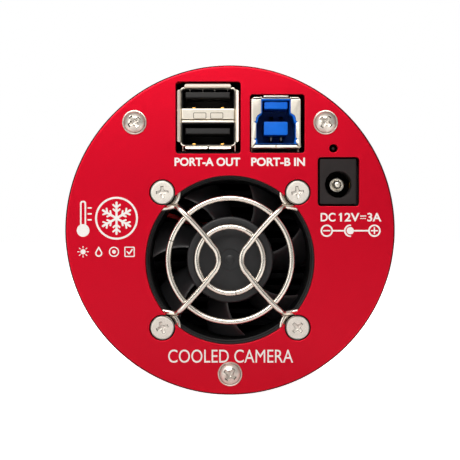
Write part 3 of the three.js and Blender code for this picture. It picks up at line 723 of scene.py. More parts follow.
def sensor_die(name):
    """The light-sensitive chip: a dark mirror, with the coloured sheen of its colourless micro-lenses painted into its
    base colour.
    """
    f = Finish(name, Coat_Weight=1.0, Coat_Roughness=0.03)
    # painted sheen: violet, green and plum standing in for the micro-lenses' sheen
    violet, green, plum, night = paint(28, 22, 44), paint(20, 40, 48), paint(48, 26, 50), paint(22, 20, 34)
    stops = [(0.0, violet), (0.45, green), (0.75, plum), (1.0, night)]
    sheen = f.node(
        "ShaderNodeValToRGB",
        {"stops": stops},
        {0: f.noise(11, 1)},
    )
    rows = f.node("ShaderNodeTexWave", {"bands_direction": "Z"}, {"Vector": f.place, "Scale": 8.0})
    f.set(Base_Color=sheen, Roughness=f.between(rows, 0.12, 0.18), Metallic=f.between(rows, 0.55, 0.7))
    return f.material


def ink(name):
    """White screen print, a little broken up by the blasted surface under it."""
    colour = tuple(settings("shell").print_colour) + (1,)
    f = Finish(name)
    grain = f.noise(0.14, 2)
    f.set(
        Base_Color=f.mixed(f.spread(grain, 0.25, 0.45), shaded(colour, 0.82), colour),
        Roughness=f.between(grain, 0.45, 0.65),
    )
    f.bump(grain, 0.01)
    return f.material


def foam(name):
    f = Finish(name)
    cells = f.node("ShaderNodeTexVoronoi", {"feature": "F1"}, {"Vector": f.place, "Scale": 2.2})
    f.set(
        Base_Color=f.mixed(f.spread(cells, 0.0, 0.6), paint(24, 24, 26), paint(58, 58, 62)),
        Roughness=f.between(f.noise(1, 2), 0.85, 0.98),
    )
    f.bump(cells, 0.2)
    return f.material


def plaster(name, colour, grain, relief):
    """Pressed or fired powder."""
    f = Finish(name)
    powder = f.noise(grain, 4)
    f.set(
        Base_Color=f.mixed(f.spread(powder, 0.3, 0.7), shaded(colour, 0.84), colour),
        Roughness=f.between(f.noise(3, 2), 0.55, 0.8),
    )
    f.bump(powder, relief)
    return f.material


def winding(name):
    """Lacquered copper wire, wound in even turns."""
    f = Finish(name, Metallic=0.9, Coat_Weight=0.5)
    # painted shade and highlight: dark copper in the grooves between turns, bright copper on their crowns
    turns = f.node("ShaderNodeTexWave", {"bands_direction": "Y"}, {"Vector": f.place, "Scale": 1.3, "Distortion": 0.6})
    f.set(
        Base_Color=f.mixed(turns, paint(110, 52, 24), paint(214, 130, 78)),
        Roughness=f.between(f.noise(0.5, 2), 0.25, 0.4),
    )
    f.bump(turns, 0.12)
    return f.material


def film(name):
    """Amber polyimide film with etched copper strips inside it."""
    f = Finish(name, Coat_Weight=0.6)
    strips = f.node("ShaderNodeTexWave", {"bands_direction": "X"}, {"Vector": f.place, "Scale": 0.65})
    shown = f.spread(strips, 0.45, 0.55)
    f.set(
        Base_Color=f.mixed(shown, paint(150, 84, 22), paint(206, 128, 58)),
        Roughness=f.between(f.noise(2, 2), 0.28, 0.42),
        Metallic=f.between(shown, 0.1, 0.5),
    )
    f.bump(shown, 0.02)
    return f.material


def by(maker, *values, **constants):
    """A finish still to be made: it only lacks its name."""
    return lambda name: maker(name, *values, **constants)


EVEN = (1, 1, 1)  # no stretch along any axis
COVER_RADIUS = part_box("rear_cover")[1].x / MM
FLAT_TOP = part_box("fan_screw_1")[0].y / MM  # the face of the flat screws
PAN_METAL = (paint(214, 206, 196), paint(230, 222, 212))
FLAT_METAL = (paint(212, 205, 196), paint(239, 233, 225))
MAKERS = {
    "red_anodised": red_anodised,
    # the rear cover's red, with a painted shade along its rim
    "cover_red": by(red_anodised, COVER_RADIUS),
    "black_anodised": by(anodised, paint(34, 34, 37), 0.45, 0.0, 0.18, (0.42, 0.52), 0.006),
    # black anodising made darker still for the heat sink, as painted shade where it sits behind the fan
    "heat_sink_black": by(anodised, paint(15, 15, 17), 0.3, 0.0, 0.25, (0.5, 0.62), 0.006),
    "blasted_steel": by(screw_steel, *FLAT_METAL, 0.16, 0.012, (0.45, 0.6), FLAT_TOP, 0.4),
    "pan_steel": by(screw_steel, *PAN_METAL, 0.4, 0.0015, (0.27, 0.37), None, 0.6),
    "polished_steel": by(brushed, paint(226, 219, 209), 0.5, EVEN, (0.16, 0.26), 0.003),
    "guard_wire": by(brushed, paint(236, 229, 218), 0.35, EVEN, (0.17, 0.27), 0.004),
    "nickel_plate": by(brushed, paint(250, 242, 228), 0.5, (1.0, 0.25, 1.0), (0.34, 0.42), 0.0015, 0.95),
    # painted shade: a darker copy of the shell's nickel for the slopes of the stamped rectangles
    "stamped_steel": by(brushed, paint(150, 138, 124), 0.3, EVEN, (0.4, 0.5), 0.004),
    "gold_plate": by(brushed, paint(222, 170, 84), 0.3, (1, 0.2, 1), (0.2, 0.32), 0.002),
    "turned_brass": by(brushed, paint(206, 170, 98), 0.4, (0.3, 4, 0.3), (0.22, 0.36), 0.004),
    "milled_copper": by(brushed, paint(198, 122, 82), 0.4, (0.2, 3, 3), (0.26, 0.42), 0.006),
    "copper_winding": winding,
    "black_plastic": by(moulded, paint(38, 37, 38)),
    "fan_plastic": by(moulded, paint(27, 27, 29), (0.36, 0.5), 0.2, 0.003),
    # painted shade: a darker copy of the fan's black plastic for the fan frame, which sits in shade
    "duct_plastic": by(moulded, paint(13, 13, 14), (0.4, 0.55), 0.2, 0.003, Specular_IOR_Level=0.25),
    "jack_plastic": by(moulded, paint(32, 26, 26), (0.6, 0.72), Specular_IOR_Level=0.25),
    # black plastic made darker still, as painted shade inside the sockets
    "socket_black": by(moulded, paint(15, 14, 15), (0.5, 0.6), Specular_IOR_Level=0.3),
    # painted highlight: a paler grey copy of the socket's black plastic for the lit front faces of the tongues
    "tongue_grey": by(moulded, paint(38, 37, 37), (0.55, 0.66), Specular_IOR_Level=0.3),
    "lamp_clear": by(moulded, paint(30, 26, 26), (0.3, 0.4), 0.3, 0.001, Specular_IOR_Level=0.3),
    "insert_blue": insert_blue,
    "seal_rubber": by(moulded, paint(36, 36, 37), (0.6, 0.78), 0.3, 0.01),
    "chip_black": by(moulded, paint(44, 44, 46), (0.5, 0.66), 0.1, 0.008),
    "lead_red": by(moulded, paint(196, 26, 28), (0.35, 0.5), 0.2, 0.004),
    "magnet_black": by(plaster, paint(40, 40, 43), 0.3, 0.02),
    "ceramic": by(plaster, paint(236, 234, 226), 0.25, 0.006),
    "desiccant": by(plaster, paint(240, 238, 228), 0.35, 0.06),
    "insulation_foam": foam,
    "amber_film": film,
    "white_ink": ink,
    "sensor_die": sensor_die,
    # a black mask, so that the board's edge seen in the windows stays as dark as the shade there: partly painted shade
    "circuit_board_black": by(solder_mask, paint(26, 27, 29), paint(40, 42, 44)),
    "circuit_board_green": by(solder_mask, paint(16, 78, 48), paint(30, 104, 64)),
    "coated_glass": by(coated_glass, paint(214, 244, 230)),
    "sensor_glass": by(coated_glass, paint(236, 240, 250)),
}


@functools.cache
def finish(name):
    """A finish by name, made when it is first asked for."""
    return MAKERS[name](name)


def dress(look, *nodes):
    """Gives pieces of the frame their finish."""
    for node in nodes:
        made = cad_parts[node]
        made.data.materials.clear()
        made.data.materials.append(finish(look))


# ------------------------------------------------------------------ rear cover and print

EDGE = 0.11  # rounding of the holes through the rear cover
PRINT = 0.03  # thickness of the print
# the windows of the cover, each as (x0, x1, z0, z1)
HUB_WINDOW = (-12.85, 2.53, 18.04, 35.09)
DATA_WINDOW = (4.7, 17.64, 18.19, 32.09)
JACK_WINDOW = (20.74, 30.53, 5.63, 17.23)


def fan_opening(grow):
    """The round opening with a lobe at each fan screw."""
    big, small, out = 20 + grow, 3.1 + grow, 16 * math.sqrt(2)
    on_big = math.acos((out**2 + big**2 - small**2) / (2 * out * big))
    on_small = math.pi - math.acos((out**2 + small**2 - big**2) / (2 * out * small))
    corners = []
    for quarter in range(4):
        centre = math.radians(45 + 90 * quarter)
        screw = polar(out, centre, 0, FAN_Z)
        corners += [polar(small, centre + on_small * (k / 8 - 1), *screw) for k in range(17)]
        start, end = centre + on_big, centre + math.pi / 2 - on_big
        corners += [polar(big, start + (end - start) * k / 30, 0, FAN_Z) for k in range(1, 30)]
    return corners


class RearCover(bpy.types.Operator):
    """The red rear cover, with its openings."""

    bl_idname = "cooled_camera.rear_cover"
    bl_label = "Rear cover"

    def execute(self, context):
        rounding = settings("shell").edge / MM
        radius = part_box("rear_cover")[1].x / MM
        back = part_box("rear_cover")[1].y / MM
        holes = [
            fan_opening,
            rounded(*HUB_WINDOW, 0.75),
            rounded(*DATA_WINDOW, 0.7),
            rounded(*JACK_WINDOW, 0.8),
            circle(1.0, *LAMP_HOLE, 24),
            *[circle(1.7, x, z, 32) for x, z in COVER_HOLES],
        ]
        bm = bmesh.new()
        section = turned_edge(radius, REAR, rounding, 1, 6)[::-1] + [(radius, back - 0.15), (radius - 0.15, back)]
        rim = turned(bm, section, 256)
        faces, backs = [rim[0]], [rim[-1]]
        profile = [(EDGE * (1 - math.sin(a)), REAR + EDGE * (1 - math.cos(a))) for a in (0, 0.52, 1.05, TAU / 4)]
        profile += [(0, back - 0.1), (0.1, back)]
        for outline in holes:
            rows = [[bm.verts.new((px, y, pz)) for px, pz in outline(grow)] for grow, y in profile]
            skin_all(bm, rows)
            faces.append(rows[0])
            backs.append(rows[-1])
        smooth_all(bm)
        cap(bm, faces)
        cap(bm, backs)
        piece("red_rear_cover", bm, "cover_red", ["rear_cover"], smooth=False)
        return {"FINISHED"}


def lettering(bm, text, x, z, width, height, weight=0.0):
    """Adds printed words as a thin raised mesh, from their lower left corner, width and height."""
    curve = bpy.data.curves.new("words", "FONT")
    curve.body = text
    curve.offset = weight
    curve.extrude = 0.5
    curve.resolution_u = 6
    holder = bpy.data.objects.new("words", curve)
    bpy.context.scene.collection.objects.link(holder)
    bpy.context.view_layer.update()
    mesh = bpy.data.meshes.new_from_object(holder.evaluated_get(bpy.context.evaluated_depsgraph_get()))
    bpy.data.objects.remove(holder)
    words = bmesh.new()
    words.from_mesh(mesh)
    bmesh.ops.remove_doubles(words, verts=words.verts[:], dist=1e-5)
    low = [min(v.co[i] for v in words.verts) for i in range(2)]
    high = [max(v.co[i] for v in words.verts) for i in range(2)]
    for v in words.verts:
        v.co = (
            x + (v.co.x - low[0]) / (high[0] - low[0]) * width,
            REAR - PRINT * (1 if v.co.z > 0 else -0.3),
            z + (v.co.y - low[1]) / (high[1] - low[1]) * height,
        )
    for face in words.faces:
        face.smooth = False
    words.to_mesh(mesh)
    words.free()
    bm.from_mesh(mesh)
    bpy.data.meshes.remove(mesh)


def stroke(bm, points, width):
    """A printed line of even width with round ends."""
    path = [Vector(p) for p in points]
    for a, b in zip(path, path[1:]):
        along = (b - a).normalized()
        heading = math.atan2(along.y, along.x)
        ends = ((a, heading + math.pi / 2), (b, heading - math.pi / 2))
        corners = [polar(width / 2, start + math.pi * k / 6, *centre) for centre, start in ends for k in range(7)]
        printed(bm, lambda grow, c=corners: c)


def printed(bm, *outlines):
    """One printed patch; patches that overlap never share a plane."""
    rise = 1 + 0.6 * (len(bm.verts) * 0.618034 % 1)
    plate(bm, outlines, REAR - PRINT * rise, REAR + PRINT * 0.3)


class Labels(bpy.types.Operator):
    """The white print: port names, supply, polarity, a plain emblem and pictograms."""

    bl_idname = "cooled_camera.labels"
    bl_label = "Labels"

    def execute(self, context):
        self.port_names()
        self.polarity()
        self.emblem()
        self.pictograms()
        return {"FINISHED"}

    def port_names(self):
        bm = bmesh.new()
        for line in (
            ("PORT-A OUT", -13.1, 15.1, 15.5, 2.0, 0.03),
            ("PORT-B IN", 5.0, 15.1, 12.7, 2.0, 0.03),
            ("COOLED CAMERA", -14.6, -31.35, 29.5, 3.1),
            ("DC", 21.4, 2.0, 3.5, 2.05, 0.02),
            ("12V", 26.0, 2.0, 4.6, 2.05, 0.02),
        ):
            lettering(bm, *line)
        stroke(bm, [(26.18, 3.86), (25.78, 3.56)], 0.28)  # the flag of the 1
        lettering(bm, "3A", 32.45, 2.0, 3.3, 2.05, 0.02)
        stroke(bm, [(30.85, 3.3), (32.1, 3.3)], 0.24)
        for k in range(3):
            x = 30.8 + 0.48 * k
            stroke(bm, [(x + 0.05, 2.72), (x + 0.22, 2.72)], 0.22)
        piece("printed_names", bm, "white_ink", smooth=False)

    def polarity(self):
        bm = bmesh.new()
        z, width = -0.17, 0.37
        for x in (22.85, 34.1):
            printed(bm, circle(1.46, x, z), circle(1.46 - width, x, z))
            stroke(bm, [(x - 0.72, z), (x + 0.72, z)], 0.3)
        stroke(bm, [(34.1, z - 0.72), (34.1, z + 0.72)], 0.3)
        printed(bm, circle(0.86, 28.4, z, 32))
        stroke(bm, [polar(1.28, math.radians(a), 28.4, z) for a in range(90, 271, 12)], width)
        stroke(bm, [(24.4, z), (26.95, z)], width)
        stroke(bm, [(29.3, z), (32.6, z)], width)
        piece("printed_polarity", bm, "white_ink", smooth=False)

    def emblem(self):
        bm = bmesh.new()
        x, z = -26.8, 2.78
        printed(bm, circle(5.06, x, z, 72), circle(4.6, x, z, 72))
        for k in range(6):
            angle = math.radians(90 + 60 * k)
            arm = Vector((math.cos(angle), math.sin(angle)))
            centre = Vector((x, z))
            stroke(bm, [centre, centre + arm * 3.7], 0.52)
            for reach, size in ((1.5, 0.95), (2.5, 1.05)):
                for side in (-1, 1):
                    twig = Matrix.Rotation(math.radians(50 * side), 2) @ arm
                    foot = centre + arm * reach
                    stroke(bm, [foot, foot + twig * size], 0.42)
        stem = -34.7
        outer = eased([(stem - 0.72, 0.4), (stem + 0.72, 0.4), (stem + 0.72, 6.9), (stem - 0.72, 6.9)], 0.7)
        bore = [((px + stem) / 2, pz - 0.36 if pz > 5 else pz) for px, pz in outer]
        printed(bm, mitred(outer), mitred(bore))
        printed(bm, circle(1.5, stem, -0.1, 40))
        for k in range(3):
            stroke(bm, [(stem + 1.2, 2.4 + 1.4 * k), (stem + 1.9, 2.4 + 1.4 * k)], 0.34)
        piece("printed_emblem", bm, "white_ink", smooth=False)

    def pictograms(self):
        """A sun, a drop, a lens and a tick box, all plain."""
        bm = bmesh.new()
        z = -5.15
        printed(bm, circle(0.62, -34.7, z, 28))
        for k in range(8):
            stroke(bm, [polar(reach, TAU * k / 8, -34.7, z) for reach in (0.92, 1.25)], 0.2)
        drop = [(-31.0, z + 1.3)] + [polar(0.85, math.radians(a), -31.0, z - 0.35) for a in range(150, 391, 15)]
        small = [(-31.0 + (px + 31.0) * 0.62, z - 0.25 + (pz - z + 0.25) * 0.62) for px, pz in drop]
        printed(bm, mitred(drop), mitred(small))
        printed(bm, circle(1.2, -27.4, z, 36), circle(0.95, -27.4, z, 36))
        printed(bm, circle(0.45, -27.4, z, 24))
        box = rounded(-24.95, -22.5, z - 1.22, z + 1.22, 0.25, 4)
        printed(bm, box, rounded(-24.7, -22.75, z - 0.97, z + 0.97, 0.15, 4))
        stroke(bm, [(-24.3, z + 0.05), (-23.8, z - 0.5), (-23.1, z + 0.55)], 0.3)
        piece("printed_pictograms", bm, "white_ink", smooth=False)


# ------------------------------------------------------------------ screws


def cross_outline(angle, arm, half, fillet, round_off):
    """Radius of a cross recess in a direction, in radians from an arm's middle."""
    away = abs((angle + math.pi / 4) % (math.pi / 2) - math.pi / 4)
    if away <= math.atan2(half, arm):
        return arm / math.cos(away)
    side = half / math.sin(away)
    if side * math.cos(away) >= fillet:
        return side
    # on the fillet circle, centred at (fillet, fillet)
    toward = fillet * (math.cos(away) + math.sin(away))
    return toward - math.sqrt(max(0.0, toward**2 - 2 * fillet**2 + round_off**2))


def dome(radius):
    """Height of a pan head's round top, from the plane it sits on."""
    return 1.7 - math.sqrt(3.2**2 - radius**2)


SCREW_PITCH = 0.5
CROSS_ANGLES = [
    math.radians(90 * quarter + a)
    for quarter in range(4)
    for a in (-45, -40, -35, -30, -26, -21, -17.5, -14.7, -12, -7, 0, 7, 12, 14.7, 17.5, 21, 26, 30, 35, 40)
]


def cross_screw(bm, x, z, degrees, skirt, crown, recess, shank, foot):
    """A screw along y with a cross recess. skirt is its section from the shank up and out to the top's edge,
    crown its top as (radius, y) from the edge to the middle, shank its (radius, y of the head's seat).
    recess is (arm, half width, fillet, rounding, depth, slope of the walls)."""
    arm, half, fillet, round_off, depth, slope = recess
    mouth = [cross_outline(a, arm, half, fillet, round_off) for a in CROSS_ANGLES]
    rows = [[bm.verts.new((x, foot, z))]]

    def height(radius):
        for (r0, y0), (r1, y1) in zip(crown, crown[1:]):
            if radius >= r1:
                return y0 + (y1 - y0) * (r0 - radius) / max(1e-6, r0 - r1)
        return crown[-1][1]

    def row(radii, level):
        around = [(level(r), polar(r, a + math.radians(degrees), x, z)) for r, a in zip(radii, CROSS_ANGLES)]
        rows.append([bm.verts.new((px, y, pz)) for y, (px, pz) in around])

    def round_row(radius, y):
        row([radius] * len(mouth), lambda _: y)

    radius, seat = shank
    root = radius - 0.25  # of the thread
    round_row(radius * 0.6, foot)
    round_row(root, foot - 0.5)
    for k in range(int((foot - seat - 1.2) / SCREW_PITCH)):
        level = foot - 0.6 - SCREW_PITCH * k
        round_row(root, level)
        round_row(radius, level - SCREW_PITCH * 0.45)
    for size, level in skirt:
        round_row(size, level)
    edge = crown[0][0]
    for share in (0.0, 0.2, 0.4, 0.6, 0.8, 0.93):
        row([edge - (edge - m - 0.1) * share for m in mouth], height)
    for grow, drop in ((0.06, 0), (0.015, 0.02), (0, 0.08)):
        row([m + grow for m in mouth], lambda r: height(r) + drop)
    floor = crown[-1][1] + depth
    for shrink, rise in ((slope, 0.12), (slope + 0.03, 0.03), (slope + 0.08, 0)):
        row([m - shrink for m in mouth], lambda _: floor - rise)
    row([m * 0.35 for m in mouth], lambda _: floor + 0.05)
    rows.append([bm.verts.new((x, floor + 0.12, z))])
    skin_all(bm, rows)


class Screws(bpy.types.Operator):
    """The flanged pan-head screws of the cover and the flat ones of the fan."""

    bl_idname = "cooled_camera.screws"
    bl_label = "Screws"

    def execute(self, context):
        for k, ((x, z), turn) in enumerate(zip(COVER_HOLES, (52, 35, 55))):
            bm = bmesh.new()
            flange = [(1.45, 0.01), (2.75, 0.01), (2.88, 0.06), (2.9, 0.16), (2.82, 0.27), (2.66, 0.3)]
            flange += [(2.58, 0.26), (2.52, 0.2), (2.47, 0.22)]
            skirt = [(r, REAR - rise) for r, rise in flange]
            crown = [(r, REAR + dome(r)) for r in (2.45, 2.35, 2.2, 2.0, 1.75, 1.4, 1.0, 0.5, 0)]
            cross_screw(bm, x, z, turn, skirt, crown, (1.6, 0.42, 0.87, 0.45, 0.95, 0.2), (1.45, REAR), REAR + 9)
            piece(f"pan_screw_{k + 1}", bm, "pan_steel", [f"cover_screw_{k + 1}"])
        top, seat = FLAT_TOP, inside(1.95)
        for k, ((x, z), turn) in enumerate(zip(FAN_HOLES, (3, 10, 20, 45))):
            bm = bmesh.new()
            skirt = [(1.45, seat), (2.72, seat), (2.8, seat - 0.08), (2.8, top + 0.2)]
            crown = [(2.77, top + 0.08), (2.7, top + 0.03), (2.55, top), (0, top)]
            cross_screw(bm, x, z, turn, skirt, crown, (1.45, 0.36, 0.79, 0.43, 0.45, 0.11), (1.45, seat), seat + 22)
            piece(f"flat_screw_{k + 1}", bm, "blasted_steel", [f"fan_screw_{k + 1}"])
        return {"FINISHED"}


# ------------------------------------------------------------------ fan guard


class FanGuard(bpy.types.Operator):
    """Two hoops and two bent wires of polished steel."""

    bl_idname = "cooled_camera.fan_guard"
    bl_label = "Fan guard"

    def execute(self, context):
        fan = settings("fan")
        radius = fan.wire / MM
        bm = bmesh.new()
        for size, seam in ((fan.small_hoop / MM, -80), (fan.large_hoop / MM, 162)):
            gap = 0.07 / size
            count = round(TAU * size / 0.3)
            angles = [math.radians(seam) + gap + (TAU - 2 * gap) * k / count for k in range(count + 1)]
            path = [Vector((size * math.cos(a), inside(1.4), FAN_Z + size * math.sin(a))) for a in angles]
            tube(bm, path, radius, 24, 0.06)
        for side in (-1, 1):
            tube(bm, self.bent_wire(side), radius, 24, 0.3)
        piece("steel_fan_guard", bm, "guard_wire", ["fan_guard"])
        return {"FINISHED"}

    def bent_wire(self, side):
        """A hook round each of two screws, joined by a V whose point nears the fan's axis."""

        def at(x, z, depth):
            return Vector((side * x, inside(depth), FAN_Z + z))

        upper = []
        for angle in range(240, -119, -15):
            a = math.radians(angle)
            upper.append(at(16 + 3.7 * math.cos(a), 16 + 3.7 * math.sin(a), 2.6 + 0.0015 * angle))
        upper += [at(12.8, 12.65, 1.7), at(11.9, 12.0, 0.7), at(10.8, 11, 0.2), at(6.4, 6.2, 0.2)]
        bend = []
        for share in (-1, -0.75, -0.5, -0.25, 0, 0.25, 0.5, 0.75, 1):
            a = math.radians(46 * share)
            bend.append(at(7.2 - 4.5 * math.cos(a), -4.5 * math.sin(a), 0.2))
        lower = [Vector((p.x, p.y, 2 * FAN_Z - p.z)) for p in reversed(upper)]
        return through(upper + bend + lower)


# ------------------------------------------------------------------ fan


BLADE_ROOT, BLADE_TIP = 9.9, 18.5  # radii
BLADE_START, BLADE_END = 4.8, 13.2  # depths
BLADES = 7


def blade_point(along, down):
    """A point of a blade's middle surface. Both run from 0 to 1: along from the hub to the tip,
    down from the leading to the trailing edge."""
    radius = BLADE_ROOT + (BLADE_TIP - BLADE_ROOT) * along
    leading = 61 + 14.6 * along**1.4
    sweep = 24 + 4 * along
    angle = math.radians(leading - sweep * (1 - (1 - down) ** 1.5))
    y = inside(BLADE_START + (BLADE_END - BLADE_START) * down)
    return Vector((radius * math.cos(angle), y, radius * math.sin(angle)))


def blade(bm, turn):
    """One blade, thin at both edges and thickest in the middle."""
    downs = [0, 0.015, 0.05, 0.12, 0.22, 0.34, 0.46, 0.58, 0.7, 0.8, 0.88, 0.95, 0.985, 1]
    spin = Matrix.Rotation(-turn, 3, "Y")
    step = 0.01
    rows = []
    for i in range(11):
        along = i / 10
        faces = ([], [])
        for down in downs:
            a = blade_point(min(along + step, 1), down) - blade_point(max(along - step, 0), down)
            b = blade_point(along, min(down + step, 1)) - blade_point(along, max(down - step, 0))
            normal = a.cross(b).normalized()
            half = 0.45 / (1 + along) * math.sqrt(max(0.0, 1 - abs(2 * down - 1) ** 6))
            for side, sense in zip(faces, (1, -1)):
                place = spin @ (blade_point(along, down) + normal * (half * sense))
                side.append(place + Vector((0, 0, FAN_Z)))
        loop = faces[0] + list(reversed(faces[1][1:-1]))
        rows.append([bm.verts.new(p) for p in loop])
    skin_all(bm, rows)
    count = len(downs)
    for row in (rows[0], rows[-1]):
        for k in range(count - 1):
            corners = [row[k], row[k + 1], row[(-k - 1) % len(row)], row[-k % len(row)]]
            corners = [v for i, v in enumerate(corners) if v is not corners[i - 1]]
            if len(corners) > 2:
                bm.faces.new(corners)


class Fan(bpy.types.Operator):
    """The fan: its frame with duct and struts, the impeller, the motor's parts and the lead."""

    bl_idname = "cooled_camera.fan"
    bl_label = "Fan"

    def execute(self, context):
        self.frame_and_base()
        self.impeller()
        self.lead()
        dress("magnet_black", "fan_magnet_ring")
        dress("polished_steel", "fan_shaft")
        dress("turned_brass", "fan_bearing")
        dress("copper_winding", "fan_stator")
        return {"FINISHED"}

    def frame_and_base(self):
        back, front = inside(3.6), inside(18.6)
        base = front - 2
        casing = bmesh.new()
        holes = [circle(19.1, 0, FAN_Z, 128)] + [circle(1.8, x, z, 24) for x, z in FAN_HOLES]
        plate(casing, [rounded(-20, 20, FAN_Z - 20, FAN_Z + 20, 3, 8)] + holes, back, front, 0.4, 4, 0.4)
        gasket = bmesh.new()
        holes = [circle(19.7, 0, FAN_Z, 128)] + [circle(2.2, x, z, 24) for x, z in FAN_HOLES]
        plate(gasket, [rounded(-20.9, 20.9, FAN_Z - 21, FAN_Z + 21, 4, 8)] + holes, inside(3.2), inside(3.6), 0.05, 1)
        piece("fan_gasket", gasket, "seal_rubber")
        motor = bmesh.new()
        section = [
            (0, front), (10.4, front), (10.6, front - 0.2), (10.6, base + 0.2), (10.4, base), (3.4, base),
            (3.4, inside(7.8)), (3.2, inside(7.6)), (2.5, inside(7.6)), (2.5, front - 0.8), (0, front - 0.8),
        ]
        turned(motor, section, 64, 0, FAN_Z)
        for angle in (45, 135, 225, 315):
            made = block(motor, 9, 19.5, base, front, FAN_Z - 1.1, FAN_Z + 1.1, 0.3, 0.02)
            turn_made(motor, made, -angle, (0, 0, FAN_Z))
        piece("fan_frame_moulding", casing, "duct_plastic", ["fan_frame"], join=motor)

    def impeller(self):
        cap, front = inside(4.1), inside(14)
        section = [
            (0, cap + 0.02), (0.9, cap + 0.02), (1.06, cap + 0.1), (1.12, cap + 0.22), (2.5, cap + 0.22),
            (2.62, cap + 0.1), (8.72, cap + 0.1), (8.84, cap), (9.86, cap), (10.1, cap + 0.06),
            (10.28, cap + 0.2), (10.37, cap + 0.38), (10.4, cap + 0.6), (10.4, front), (9.4, front),
            (9.4, cap + 1.2), (2, cap + 1.2), (2, cap + 2.2), (0.8, cap + 2.2), (0.8, cap + 0.8), (0, cap + 0.8),
        ]
        hub = bmesh.new()
        turned(hub, section, 128, 0, FAN_Z)
        blades = bmesh.new()
        for k in range(BLADES):
            blade(blades, TAU * k / BLADES)
        dent = bmesh.new()
        turned(dent, [(0, cap - 1), (0.32, cap - 1), (0.32, cap + 0.5), (0, cap + 0.5)], 20, -1.7, FAN_Z + 6.6)
        piece(
            "fan_impeller_moulding", hub, "fan_plastic", ["fan_impeller"],
            body="fan_rotor", join=blades, carve=dent,
        )

    def lead(self):
        plane = inside(19.35)
        route = [(-5.5, 8.5), (-10.5, 9.1), (-15, 10.8), (-18.8, 11.6)]
        route += [(-20.6, 14), (-20.6, 17.5), (-19, 20.4), (-17.6, 22)]
        bm = bmesh.new()
        tube(bm, through([Vector((x, plane, FAN_Z + z)) for x, z in route]), 0.55, 16)
        block(bm, -20, -15, plane - 1.7, plane + 1.7, FAN_Z + 21, 17, 0.2, 0.3)
        for k in range(3):
            block(bm, -19.2 + 1.3 * k, -18.6 + 1.3 * k, plane - 1.75, plane - 1.6, FAN_Z + 21.5, 16.4, 0.03, 0.05)
        piece("fan_lead_and_plug", bm, "lead_red", ["fan_lead"])


# ------------------------------------------------------------------ sockets

LIP = [(-0.28, 1.4), (-0.26, 0.95), (-0.14, 0.6), (0.08, 0.34), (0.36, 0.17), (0.66, 0.1), (0.76, 0.2)]
LIP_UNDER = [(0.7, 0.36), (0.42, 0.42), (0.24, 0.54), (0.1, 0.76), (0.03, 1.05), (0.0, 1.4)]


def lip(bm, corner, along, outward, length, end_radius=0.42):
    """A flared lip of sheet metal: it starts at a corner of the shell and runs along its edge, with round ends."""
    rows = []
    places = [0.02, 0.06, 0.14, 0.26, 0.42]
    places += [length / 2] + [length - p for p in reversed(places)]
    for s in places:
        near = min(s, length - s, end_radius) / end_radius
        reach = 0.12 + 0.88 * math.sqrt(max(0.0, 1 - (1 - near) ** 2))
        row = []
        for out, depth in LIP + LIP_UNDER:
            out = -0.1 + (out + 0.1) * reach if out > -0.1 else out
            place = Vector(corner) + Vector(along) * s + Vector(outward) * out
            row.append(bm.verts.new((place.x, inside(depth), place.y)))
        rows.append(row)
    skin_all(bm, rows, ends=True)


